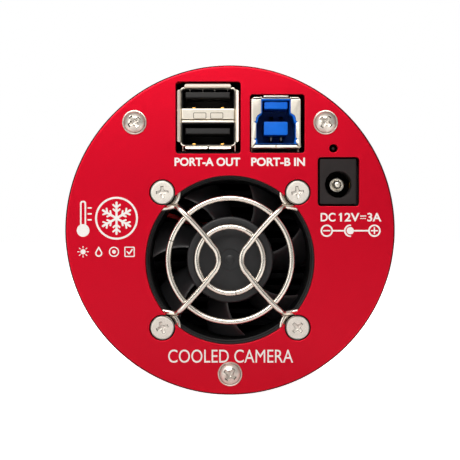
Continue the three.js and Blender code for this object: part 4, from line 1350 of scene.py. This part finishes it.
class HubPort(bpy.types.Operator):
    """Two stacked sockets in one folded shell."""

    bl_idname = "cooled_camera.hub_port"
    bl_label = "Double socket"

    def execute(self, context):
        sheet = settings("port").sheet / MM
        x0, x1, z0, z1 = -11.75, 1.35, 19.9, 33.8
        shell = bmesh.new()
        hole = rounded(x0 + sheet, x1 - sheet, z0 + sheet, z1 - sheet, 0.55)
        plate(shell, [rounded(x0, x1, z0, z1, 0.85), hole], inside(1.4), inside(18), 0.1, 3)
        for k, (x, z) in enumerate([(x1, z1), (x0, z1), (x0, z0), (x1, z0)]):
            middle = (x - 0.85 * (1 if x > 0 else -1), z - 0.85 * (1 if z > 27 else -1))
            arc = [
                polar(r, math.radians(90 * k + a), *middle)
                for r, sweep in ((0.85, range(2, 92, 8)), (0.6, range(90, 0, -8)))
                for a in sweep
            ]
            plate(shell, [mitred(arc)], inside(0.7), inside(1.6), 0.06, 2)
        lip(shell, (x0, 20.75), (0, 1), (-1, 0), 12.45)
        lip(shell, (x1, 20.75), (0, 1), (1, 0), 12.45)
        lip(shell, (-10.8, z1), (1, 0), (0, 1), 11.05)
        lip(shell, (-10.65, z0), (1, 0), (0, -1), 5.42, 0.3)
        lip(shell, (-5.1, z0), (1, 0), (0, -1), 5.42, 0.3)
        sunk(shell, -11.42, 1.02, 0.4, 12, 26.22, 28.72, 0.22, 0.1)
        sunk(shell, -11.42, 1.02, 0.42, 12, 25.44, 25.9, 0.16, 0.1)
        sunk(shell, -11.3, 0.9, 2.6, 11.8, 25.8, 26.3, 0.02, 0.02)
        # painted shade: thin darker rings where the stamped rectangles' slopes fall in shade
        stamp = bmesh.new()
        for low, high in ((-8.7, -5.6), (-4.67, -1.6)):
            plate(
                stamp,
                [rounded(low, high, 26.32, 27.8, 0.25), rounded(low + 0.16, high - 0.16, 26.48, 27.64, 0.15)],
                inside(0.38), inside(0.6), 0.02, 1,
            )
        piece("hub_stamped_lines", stamp, "stamped_steel")
        for x in (-11.3, 1.2):
            for depth in (3, 14):
                sunk(shell, x - 0.12, x + 0.18, depth, depth + 2, BOARD, z0 + 0.3, 0.06, 0.05)
        piece("hub_shell_sheet", shell, "nickel_plate", ["hub_port_shell"])
        core = bmesh.new()
        sunk(core, x0 + 0.45, x1 - 0.45, 12.1, 17.9, z0 + 0.45, z1 - 0.45, 0.1, 0.3)
        liner = [rounded(x0 + a, x1 - a, z0 + a, z1 - a, 0.6) for a in (0.33, 0.48)]
        plate(core, liner, inside(1.7), inside(17.9), 0.03, 1)
        sunk(core, -11.3, 0.9, 1.3, 11.8, 25.2, 25.43, 0.03, 0.02)
        springs, dots = bmesh.new(), bmesh.new()
        for low, high in ((20.2, 25.35), (28.8, 33.5)):
            sunk(core, x0 + 0.42, x1 - 0.42, 9, 12.5, low + 0.1, high - 0.1, 0.1, 0.2)
            front = low + 2.55
            sunk(core, -10.6, 0.03, 1.3, 9.5, front, front + 1.45, 0.3, 0.12)
            for x in (-8.53, -1.8):
                sunk(springs, x - 0.42, x + 0.42, 1.6, 7, low - 0.05, low + 0.36, 0.12, 0.16)
        for k in range(4):
            x = (-9.55, -6.5, -3.64, -0.56)[k]
            sunk(dots, x - 0.12, x + 0.12, 1.7, 9.4, 33.22, 33.44, 0.07, 0.06)
        piece("hub_core_moulding", core, "socket_black", ["hub_port_core"])
        piece("hub_contacts", springs, "gold_plate")
        piece("hub_shell_dimples", dots, "nickel_plate")
        # painted highlight: thin paler plates on the front faces of the tongues
        fronts = bmesh.new()
        for low in (20.2, 28.8):
            plate(fronts, [rounded(-10.4, -0.17, low + 2.75, low + 3.8, 0.12, 3)], inside(1.24), inside(1.5), 0.05, 2)
        piece("hub_tongue_fronts", fronts, "tongue_grey")
        return {"FINISHED"}


DATA_CENTRE = (10.88, 25.45)
INSERT_HALF = [
    (3.5, 5.6), (3.5, 2.27), (4.35, 1.75), (4.72, 1.1), (4.8, 0.36), (5.22, 0.18), (4.72, -0.21), (4.72, -3.6),
    (5.22, -4.0), (4.72, -4.28), (4.83, -4.79), (5.2, -5.2),
]
POCKET_HALF = [
    (3.27, 5.3), (3.27, 2.15), (3.95, 1.6), (4.2, 1.0), (4.3, 0.25), (4.6, -0.15), (4.6, -3.65), (4.45, -4.2),
    (4.4, -5.0),
]


def data_outline(half):
    cx, cz = DATA_CENTRE
    return mitred([(cx + dx, cz + dz) for dx, dz in eased(mirrored(half), 0.12, 2)])


class DataPort(bpy.types.Operator):
    """The square data socket: a folded metal shell and a blue insert with two tongues."""

    bl_idname = "cooled_camera.data_port"
    bl_label = "Data socket"

    def execute(self, context):
        sheet = settings("port").sheet / MM
        cx, cz = DATA_CENTRE
        shell = bmesh.new()
        outer = rounded(cx - 5.85, cx + 5.85, cz - 6.05, cz + 5.95, 0.5)
        inner = rounded(cx - 5.85 + sheet, cx + 5.85 - sheet, cz - 6.05 + sheet, cz + 5.95 - sheet, 0.3)
        plate(shell, [outer, inner], inside(1.2), inside(17.5), 0.1, 3)
        for side in (-1, 1):

            def placed(points):
                return [(cx + side * dx, cz + dz) for dx, dz in points]

            face = [(3.5, 5.45), (5.8, 5.45), (5.8, -5.85), (5.2, -5.22)] + INSERT_HALF[-2:0:-1]
            plate(shell, [mitred(eased(placed(face), 0.1, 2))], inside(0.2), inside(0.5), 0.07, 2)
            a, b = sorted((cx + side * 5.35, cx + side * 3.75))
            sunk(shell, a, b, 0.12, 1.4, cz + 5.72, cz + 5.98, 0.12, 0.12)
            curl = placed([(3.45, 5.62), (3.7, 5.95), (3.52, 6.06), (3.25, 5.72)])
            plate(shell, [mitred(curl)], inside(0.2), inside(1.4), 0.04, 2)
            bottom = eased(placed([(0.03, -5.36), (4.95, -5.36), (5.65, -6.08), (0.03, -6.08)]), 0.1, 2)
            plate(shell, [mitred(bottom)], inside(0.15), inside(1.4), 0.14, 3)
            corner = placed([(5.2, -5.3), (5.78, -5.9), (5.92, -5.78), (5.34, -5.16)])
            plate(shell, [mitred(corner)], inside(0.25), inside(1.4), 0.05, 2)
            leg = cx + side * 5.65
            sunk(shell, leg - 0.15, leg + 0.15, 6, 8, BOARD, cz - 5.8, 0.06, 0.05)
        sunk(shell, cx - 2.95, cx + 2.95, 0.1, 1.4, cz + 6.04, cz + 6.3, 0.11, 0.1)
        piece("data_shell_sheet", shell, "nickel_plate", ["data_port_shell"])
        core = bmesh.new()
        body = data_outline(INSERT_HALF)
        plate(
            core, [lambda grow: body(grow - 0.06), data_outline(POCKET_HALF)],
            inside(0.5), inside(17.3), 0.06, 2, floors=[inside(9.1)],
        )
        slots = bmesh.new()
        for x in (9.19, 10.24, 11.23, 12.22, 13.22):
            sunk(slots, x - 0.28, x + 0.28, 8, 12, 28.8, 29.6, 0, 0.05)
        for x in (10.01, 12.46):
            sunk(slots, x - 0.5, x + 0.5, 8, 12, 26.86, 27.7, 0, 0.05)
            sunk(slots, x - 0.5, x + 0.5, 8, 12, 21.4, 22.96, 0, 0.05)
        piece("data_insert_moulding", core, "insert_blue", ["data_port_core"], carve=slots)
        tongues = bmesh.new()
        sunk(tongues, cx - 2.75, cx + 2.75, 1.2, 9.1, cz + 3.34, cz + 5.0, 0.12, 0.15)
        sunk(tongues, cx - 2.8, cx + 2.8, 1.2, 9.1, cz - 2.87, cz + 0.24, 0.14, 0.2)
        piece("data_tongues", tongues, "insert_blue")
        contacts = bmesh.new()
        for x in (9.19, 10.24, 11.23, 12.22, 13.22):
            sunk(contacts, x - 0.16, x + 0.16, 8.7, 11.5, 29.0, 29.5, 0.06, 0.06)
        for dx in (-1.21, 1.16):
            x = (cx + dx) * 1.035
            sunk(contacts, x - 0.2, x + 0.2, 8.6, 11.5, 21.7, 22.7, 0.08, 0.08)
        piece("data_contacts", contacts, "nickel_plate")
        return {"FINISHED"}


class PowerJack(bpy.types.Operator):
    """The barrel jack: its moulded body, centre pin and spring contact."""

    bl_idname = "cooled_camera.power_jack"
    bl_label = "Power jack"

    def execute(self, context):
        x, z = JACK
        body = bmesh.new()
        plate(
            body, [rounded(21.24, 29.86, 6.1, 16.8, 0.35), circle(3.15, x, z, 72)],
            inside(0.4), inside(14.2), 0.14, 3, floors=[inside(10.4)],
        )
        notch = bmesh.new()
        sunk(notch, x + 2, x + 3.47, 3, 9, z - 0.9, z + 0.9, 0, 0.05)
        piece("jack_body_moulding", body, "jack_plastic", ["power_jack_body"], carve=notch)
        # painted shade: a dark rubber gasket round the jack, put there so the gap round the jack shows dark
        gasket = bmesh.new()
        frame_outline = [rounded(21.0, 30.9, 5.1, 17.9, 0.2), rounded(21.2, 29.9, 6.0, 16.9, 0.4)]
        plate(gasket, frame_outline, inside(3.4), inside(4.6), 0.1, 2)
        piece("jack_gasket", gasket, "seal_rubber")
        pin = bmesh.new()
        tip, collar, floor = inside(2.6), inside(4.5), inside(10.3)
        section = [
            (0, tip), (0.45, tip + 0.02), (0.66, tip + 0.1), (0.84, tip + 0.34), (0.93, tip + 0.8),
            (0.95, collar + 0.18), (1.52, collar), (1.64, collar + 0.03), (1.72, collar + 0.14),
            (1.75, collar + 0.5), (1.75, floor), (0, floor),
        ]
        turned(pin, section, 48, x, z)
        piece("jack_centre_pin", pin, "nickel_plate", ["power_jack_pin"])
        spring = bmesh.new()
        path = [(3.02, 4.3), (2.92, 5.0), (2.86, 5.8), (2.9, 6.9), (3.02, 8.2), (3.02, 8.8)]
        rows = []
        for out, depth in path:
            rows.append([
                spring.verts.new((x + out + push, inside(depth), z + side))
                for push, side in ((0, -0.7), (0, 0.7), (0.12, 0.7), (0.12, -0.7))
            ])
        skin_all(spring, rows, ends=True)
        piece("jack_spring", spring, "gold_plate", ["power_jack_contact"], smooth=False)
        return {"FINISHED"}


class Lamp(bpy.types.Operator):
    """The status lamp's light pipe, unlit, behind its small hole."""

    bl_idname = "cooled_camera.lamp"
    bl_label = "Status lamp"

    def execute(self, context):
        bm = bmesh.new()
        x, z = LAMP_HOLE
        section = [(0, 0.9), (0.25, 0.93), (0.42, 1.05), (0.5, 1.25), (0.5, 6), (0, 6)]
        turned(bm, [(r, inside(depth)) for r, depth in section], 32, x, z)
        sunk(bm, x - 1.5, x + 1.5, 5, 9, BOARD, 20.7, 0.15, 0.2)
        piece("lamp_light_pipe", bm, "lamp_clear", ["status_lamp"])
        return {"FINISHED"}


# ------------------------------------------------------------------ housings


class Housings(bpy.types.Operator):
    """The vented main housing and the tapered front housing."""

    bl_idname = "cooled_camera.housings"
    bl_label = "Housings"

    def execute(self, context):
        low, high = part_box("main_housing")
        back, front, radius = low.y / MM, high.y / MM, high.x / MM
        section = [(37, back + 0.15), (37.15, back)]
        section += reversed(turned_edge(radius, back, 0.35, 1, 4))
        section += turned_edge(radius, front, 0.35, -1, 4)
        section += [(37.15, front), (37, front - 0.15)]
        tube_shape = bmesh.new()
        turned(tube_shape, section, 192, closed=True)
        slots = bmesh.new()
        for k in range(9):
            angle = -13 + (k - 4) * 8
            for heading in (angle, 180 - angle):
                self.slot(slots, heading)
        piece("vented_housing", tube_shape, "red_anodised", ["main_housing"], carve=slots)
        self.front_housing()
        return {"FINISHED"}

    def slot(self, bm, heading):
        """A vent's cutter, flared where it meets the outside."""
        rows = []
        for x, grow in ((34, 0), (38.72, 0), (39.6, 0.88)):
            loop = []
            for middle, start in ((-42.2, -90), (-64.8, 90)):
                arc = [polar(1.2 + grow, math.radians(start + 180 * k / 12), middle) for k in range(13)]
                loop += [bm.verts.new((x, y, z)) for y, z in arc]
            rows.append(loop)
        skin_all(bm, rows, ends=True)
        turn_made(bm, [v for row in rows for v in row], -heading)

    def front_housing(self):
        face, back, shoulder = -3.6, -33.0, -30
        section = [(24.5, face - 0.2), (24.7, face), (25.3, face), (25.3, face - 1), (26.7, face - 1), (26.7, face)]
        section += reversed(turned_edge(31, face, 0.3, -1, 3))
        section += [(31, -18.6), (31.06, -19.0), (31.3, -19.3), (38.7, -24.8), (38.94, -25.1), (39, -25.5)]
        section += [(39, shoulder + 0.35), (38.65, shoulder), (36.7, shoulder), (36.7, back + 0.4), (36.3, back)]
        section += [(28.8, back), (28.8, back + 1), (27.2, back + 1), (27.2, back), (24.7, back), (24.5, back + 0.2)]
        bm = bmesh.new()
        turned(bm, section, 192, closed=True)
        holes = bmesh.new()
        for x, z in corners_of(28.8):
            turned(holes, [(0, -2), (1.25, -2), (1.25, -10.6), (0, -10.6)], 24, x, z)
        for x, z in COVER_HOLES:
            turned(holes, [(0, -34), (1.6, -34), (1.6, back + 7.2), (0, back + 7.2)], 24, x, z)
        piece("tapered_front_housing", bm, "red_anodised", ["front_housing"], carve=holes)


class FrontCover(bpy.types.Operator):
    """The front cover with the telescope thread, its screws, the window and the window's retainer."""

    bl_idname = "cooled_camera.front_cover"
    bl_label = "Front cover"

    def execute(self, context):
        self.cover()
        self.front_screws()
        self.window()
        return {"FINISHED"}

    def cover(self):
        under = -3.5
        section = [(14.5, -5.9), (14.6, -6), (24.2, -6), (24.35, -5.85), (24.35, under)]
        section += [(30.7, under), (31, under + 0.3), (31, -0.5), (30.9, -0.2), (30.7, -0.05), (30.5, 0)]
        section += [(21.3, 0), (20.95, -0.3)]
        for k in range(5):
            level = -0.45 - 0.75 * k
            section += [(20.6, level), (20.6, level - 0.1), (21.02, level - 0.36), (21.02, level - 0.42)]
        section += [(20.6, -4.2), (18.8, -4.2), (18.8, -2.0), (18.7, -1.9), (17.5, -1.9), (17.4, -2.0), (17.4, -2.9)]
        section += [(16.2, -2.9), (16.2, -4.9), (15.9, -4.9), (15.9, -5.7), (14.9, -5.7), (14.9, -4.9), (14.5, -4.9)]
        bm = bmesh.new()
        turned(bm, section, 192, closed=True)
        holes = bmesh.new()
        bore = [(0, 1), (2.15, 1), (2.15, -1.6), (1.45, -1.6), (1.45, -5), (0, -5)]
        for x, z in corners_of(FRONT_CIRCLE):
            turned(holes, bore, 48, x, z)
        piece("threaded_front_cover", bm, "red_anodised", ["front_cover"], carve=holes)

    def front_screws(self):
        for k, (x, z) in enumerate(corners_of(FRONT_CIRCLE)):
            bm = bmesh.new()
            section = [(0, -9.2), (0.7, -9.2), (1.1, -8.8)]
            for turn in range(14):
                level = -8.6 + 0.5 * turn
                section += [(0.92, level), (1.1, level + 0.22)]
            section += [(1.1, -1.5), (1.98, -1.5), (2.03, -1.4), (2.03, -0.42), (1.95, -0.26), (1.8, -0.2), (0, -0.2)]
            turned(bm, section, 48, x, z)
            socket = bmesh.new()
            hexagon = [(0, 1), (1.9, 1), (0.9, -0.25), (0.85, -0.32), (0.85, -1.0), (0, -1.25)]
            turned(socket, hexagon, 6, x, z, start=0.3 * k)
            piece(f"hex_screw_{k + 1}", bm, "polished_steel", [f"front_screw_{k + 1}"], carve=socket)

    def window(self):
        top, seat = -2.92, -4.8
        bm = bmesh.new()
        turned(bm, [(0, top), (15.8, top), (16, top - 0.2), (16, seat + 0.2), (15.8, seat), (0, seat)], 128)
        piece("window_disc", bm, "coated_glass", ["window_glass"])
        ring = bmesh.new()
        section = [(14.6, -2.45), (15.2, -1.9), (17.1, -1.9), (17.3, -2.1), (17.3, -2.7), (17.15, -2.85)]
        section += [(14.75, -2.85), (14.6, -2.7)]
        turned(ring, section, 128, closed=True)
        keyways = bmesh.new()
        for side in (-1, 1):
            a, b = sorted((side * 15.7, side * 17.6))
            block(keyways, a, b, -2.4, -1.4, -0.7, 0.7, 0, 0.15)
        piece("retaining_ring", ring, "black_anodised", ["window_retainer"], carve=keyways)
        dress("seal_rubber", "window_seal")
        dress("amber_film", "dew_heater")


class Sensor(bpy.types.Operator):
    """The image sensor in its ceramic tray, its cover glass and its board."""

    bl_idname = "cooled_camera.sensor"
    bl_label = "Image sensor"

    def execute(self, context):
        tray = bmesh.new()
        plate(
            tray, [rounded(-10.2, 10.2, -9.3, 9.3, 0.5), rounded(-7.8, 7.8, -5.6, 5.6, 0.3)],
            -5.95, -8.2, 0.1, 2, 0.1, floors=[-6.5],
        )
        piece("sensor_tray", tray, "ceramic", ["image_sensor"])
        die = bmesh.new()
        plate(die, [rounded(-7.3, 7.3, -5.1, 5.1, 0.05, 2)], -6.46, -6.52, 0.02, 2)
        piece("sensor_chip", die, "sensor_die", smooth=False)
        pads = bmesh.new()
        for k in range(28):
            for z in (-5.34, 5.22):
                block(pads, -7.1 + 0.52 * k, -6.85 + 0.52 * k, -6.44, -6.52, z, z + 0.12, 0.01, 0.02)
        for k in range(20):
            for side in (-1, 1):
                x, z = side * 9.75, -8.6 + 0.9 * k
                block(pads, x - 0.3, x + 0.3, -5.92, -5.97, z - 0.2, z + 0.2, 0.01, 0.05)
        piece("sensor_bond_pads", pads, "gold_plate", smooth=False)
        glass = bmesh.new()
        plate(glass, [rounded(-9, 9, -7.3, 7.3, 0.3)], -5.4, -5.9, 0.08, 2, 0.08)
        piece("sensor_cover_glass", glass, "sensor_glass", ["sensor_glass"], smooth=False)
        board = bmesh.new()
        outline = [circle(24.2, 0, 0, 96), rounded(-6.2, 6.2, -6.2, 6.2, 0.3)]
        plate(board, outline, -8.3, -9.9, 0.05, 2, 0.05)
        piece(
            "sensor_board_disc", board, "circuit_board_green", ["sensor_board"], smooth=False
        )
        self.board_parts()
        return {"FINISHED"}

    def board_parts(self):
        """Small capacitors round the sensor, with tinned ends."""
        bodies, ends = bmesh.new(), bmesh.new()
        for k in range(1, 8):
            for z in (-11.4, 11.4):
                x = -7.2 + 1.8 * k
                block(bodies, x - 0.3, x + 0.3, -7.85, -8.3, z - 0.25, z + 0.25, 0.04, 0.04)
                for tip in (x - 0.4, x + 0.4):
                    block(ends, tip - 0.12, tip + 0.12, -7.82, -8.3, z - 0.27, z + 0.27, 0.04, 0.05)
        for k in range(7):
            for x in (-12.2, 12.2):
                z = -5.4 + 1.8 * k
                block(bodies, x - 0.25, x + 0.25, -7.85, -8.3, z - 0.3, z + 0.3, 0.04, 0.04)
                for tip in (z - 0.4, z + 0.4):
                    block(ends, x - 0.27, x + 0.27, -7.82, -8.3, tip - 0.12, tip + 0.12, 0.04, 0.05)
        piece("board_capacitors", bodies, "ceramic")
        piece("board_tinned_ends", ends, "nickel_plate")


class Boards(bpy.types.Operator):
    """The main board, its chips and the flat cable to the sensor."""

    bl_idname = "cooled_camera.boards"
    bl_label = "Circuit boards"

    def execute(self, context):
        dress("circuit_board_black", "main_board")
        dress("chip_black", "main_processor", "buffer_memory", "hub_controller")
        dress("amber_film", "sensor_flex")
        return {"FINISHED"}


class Cooling(bpy.types.Operator):
    """The cold finger, the two-stage cooler, the heat sink and the insulation."""

    bl_idname = "cooled_camera.cooling"
    bl_label = "Cooling"

    def execute(self, context):
        dress("milled_copper", "cold_finger")
        dress("turned_brass", "peltier_core", *[f"cover_standoff_{k}" for k in (1, 2, 3)])
        dress("heat_sink_black", "heat_sink")
        dress("insulation_foam", "thermal_insulator")
        dress("ceramic", "peltier_cold_plate", "peltier_hot_plate")
        dress("desiccant", *[f"desiccant_tablet_{k}" for k in (1, 2, 3, 4)])
        dress("seal_rubber", "front_seal", "rear_seal")
        return {"FINISHED"}


# ------------------------------------------------------------------ studio

WHITE = (1, 1, 1, 1)
SURROUND_TONES = ((0.5, 0.14), (0.58, 0.5), (0.84, 0.52), (0.94, 0.26), (0.98, 0.02))  # from the front to the rear

def softbox(name, place, target, width, height, power, tint=(1.0, 0.985, 0.96)):
    light = bpy.data.lights.new(name, "AREA")
    light.shape = "RECTANGLE"
    light.size, light.size_y = width, height
    light.energy = power * settings("studio").light
    light.color = tint
    holder = bpy.data.objects.new(name, light)
    holder.location = place
    holder.rotation_euler = (Vector(target) - Vector(place)).to_track_quat("-Z", "Y").to_euler()
    bpy.context.scene.collection.objects.link(holder)


class Studio(bpy.types.Operator):
    """A plain white floor and surround, soft boxes, and the camera square to the rear face."""

    bl_idname = "cooled_camera.studio"
    bl_label = "Studio"

    def execute(self, context):
        self.floor()
        self.surround()
        target = (0, -0.086, 0)
        softbox("key_light", (-0.05, -0.32, 0.2), target, 0.3, 0.13, 0.8)
        softbox("left_light", (-0.34, -0.40, 0.06), target, 0.16, 0.3, 0.28)
        softbox("front_light", (0.1, 0.35, 0.35), (0, -0.04, 0), 0.3, 0.3, 4.0)
        viewer = bpy.data.cameras.new("viewer")
        viewer.sensor_width = 36
        viewer.lens = 86.15
        viewer.clip_start, viewer.clip_end = 0.01, 20
        holder = bpy.data.objects.new("viewer", viewer)
        holder.location = (0, -settings("studio").distance, 0)
        holder.rotation_euler = (math.pi / 2, 0, 0)
        bpy.context.scene.collection.objects.link(holder)
        bpy.context.scene.camera = holder
        bpy.context.scene.view_settings.view_transform = "Standard"
        return {"FINISHED"}

    def floor(self):
        bm = bmesh.new()
        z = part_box("main_housing")[0].z / MM - 0.02
        rows = []
        for radius in (3000, 2990, 1200, 400):
            rows.append([bm.verts.new((*polar(radius, TAU * k / 96), z)) for k in range(96)])
        skin_all(bm, rows)
        bm.faces.new(rows[-1])
        made = as_object(bm, "floor")
        f = Finish("pale_floor", Roughness=0.6)
        tone = tuple(settings("studio").floor) + (1,)
        f.set(Base_Color=f.mixed(f.noise(40, 2) * 0.05, tone, shaded(tone, 0.97)))
        seen = f.node("ShaderNodeLightPath", output="Is Camera Ray")
        glow = f.node("ShaderNodeEmission", inputs={"Color": WHITE, "Strength": 1.0})
        dark = f.node("ShaderNodeEmission", inputs={"Color": (0, 0, 0, 1), "Strength": 0.0})
        seen_glow = f.node("ShaderNodeMixShader", inputs={0: seen, 1: dark, 2: glow})
        both = f.node("ShaderNodeAddShader", inputs={0: Value(f, f.shader.outputs[0]), 1: seen_glow})
        f.feed(f.tree.nodes["Material Output"].inputs["Surface"], both)
        made.data.materials.append(f.material)

    def surround(self):
        world = bpy.data.worlds.new("surround")
        bpy.context.scene.world = world
        graph = Graph(world)
        heading = graph.node("ShaderNodeTexCoord", output="Generated")
        towards = graph.node(
            "ShaderNodeVectorMath", {"operation": "DOT_PRODUCT"}, {0: heading, 1: (0, -1, 0)}, "Value"
        )
        half = graph.node("ShaderNodeMath", {"operation": "MULTIPLY_ADD"}, {0: towards, 1: 0.5, 2: 0.5})
        stops = [(position, (tone, tone * 0.99, tone * 0.97, 1)) for position, tone in SURROUND_TONES]
        tones = graph.node("ShaderNodeValToRGB", {"stops": stops}, {0: half})
        dim = graph.node("ShaderNodeBackground", inputs={"Color": tones, "Strength": 1.0})
        white = graph.node("ShaderNodeBackground", inputs={"Color": WHITE, "Strength": 1.0})
        seen = graph.node("ShaderNodeLightPath", output="Is Camera Ray")
        both = graph.node("ShaderNodeMixShader", inputs={0: seen, 1: dim, 2: white})
        graph.feed(world.node_tree.nodes["World Output"].inputs["Surface"], both)


# ------------------------------------------------------------------ panel and run

GROUPS = {"shell": ShellSettings, "fan": FanSettings, "port": PortSettings, "studio": StudioSettings}
OPERATORS = (
    RearCover, Labels, Screws, FanGuard, Fan, HubPort, DataPort, PowerJack, Lamp, Housings, FrontCover, Sensor,
    Boards, Cooling, Studio,
)


class CameraPanel(bpy.types.Panel):
    """Lists the sizes and the pieces."""

    bl_idname = "VIEW3D_PT_cooled_camera"
    bl_label = "Cooled camera"
    bl_space_type = "VIEW_3D"
    bl_region_type = "UI"
    bl_category = "Camera"

    def draw(self, context):
        for name, group in GROUPS.items():
            box = self.layout.box()
            box.label(text=name.capitalize())
            for field in group.__annotations__:
                box.prop(getattr(context.scene, "cooled_camera_" + name), field)
        for operator in OPERATORS:
            self.layout.operator(operator.bl_idname)


def register():
    for made in (*GROUPS.values(), *OPERATORS, CameraPanel):
        bpy.utils.register_class(made)
    for name, group in GROUPS.items():
        setattr(bpy.types.Scene, "cooled_camera_" + name, bpy.props.PointerProperty(type=group))


def unregister():
    for name in GROUPS:
        delattr(bpy.types.Scene, "cooled_camera_" + name)
    for made in (CameraPanel, *reversed(OPERATORS), *GROUPS.values()):
        bpy.utils.unregister_class(made)


def main():
    register()
    for operator in OPERATORS:
        group, name = operator.bl_idname.split(".")
        getattr(getattr(bpy.ops, group), name)()


if __name__ == "__main__":
    main()
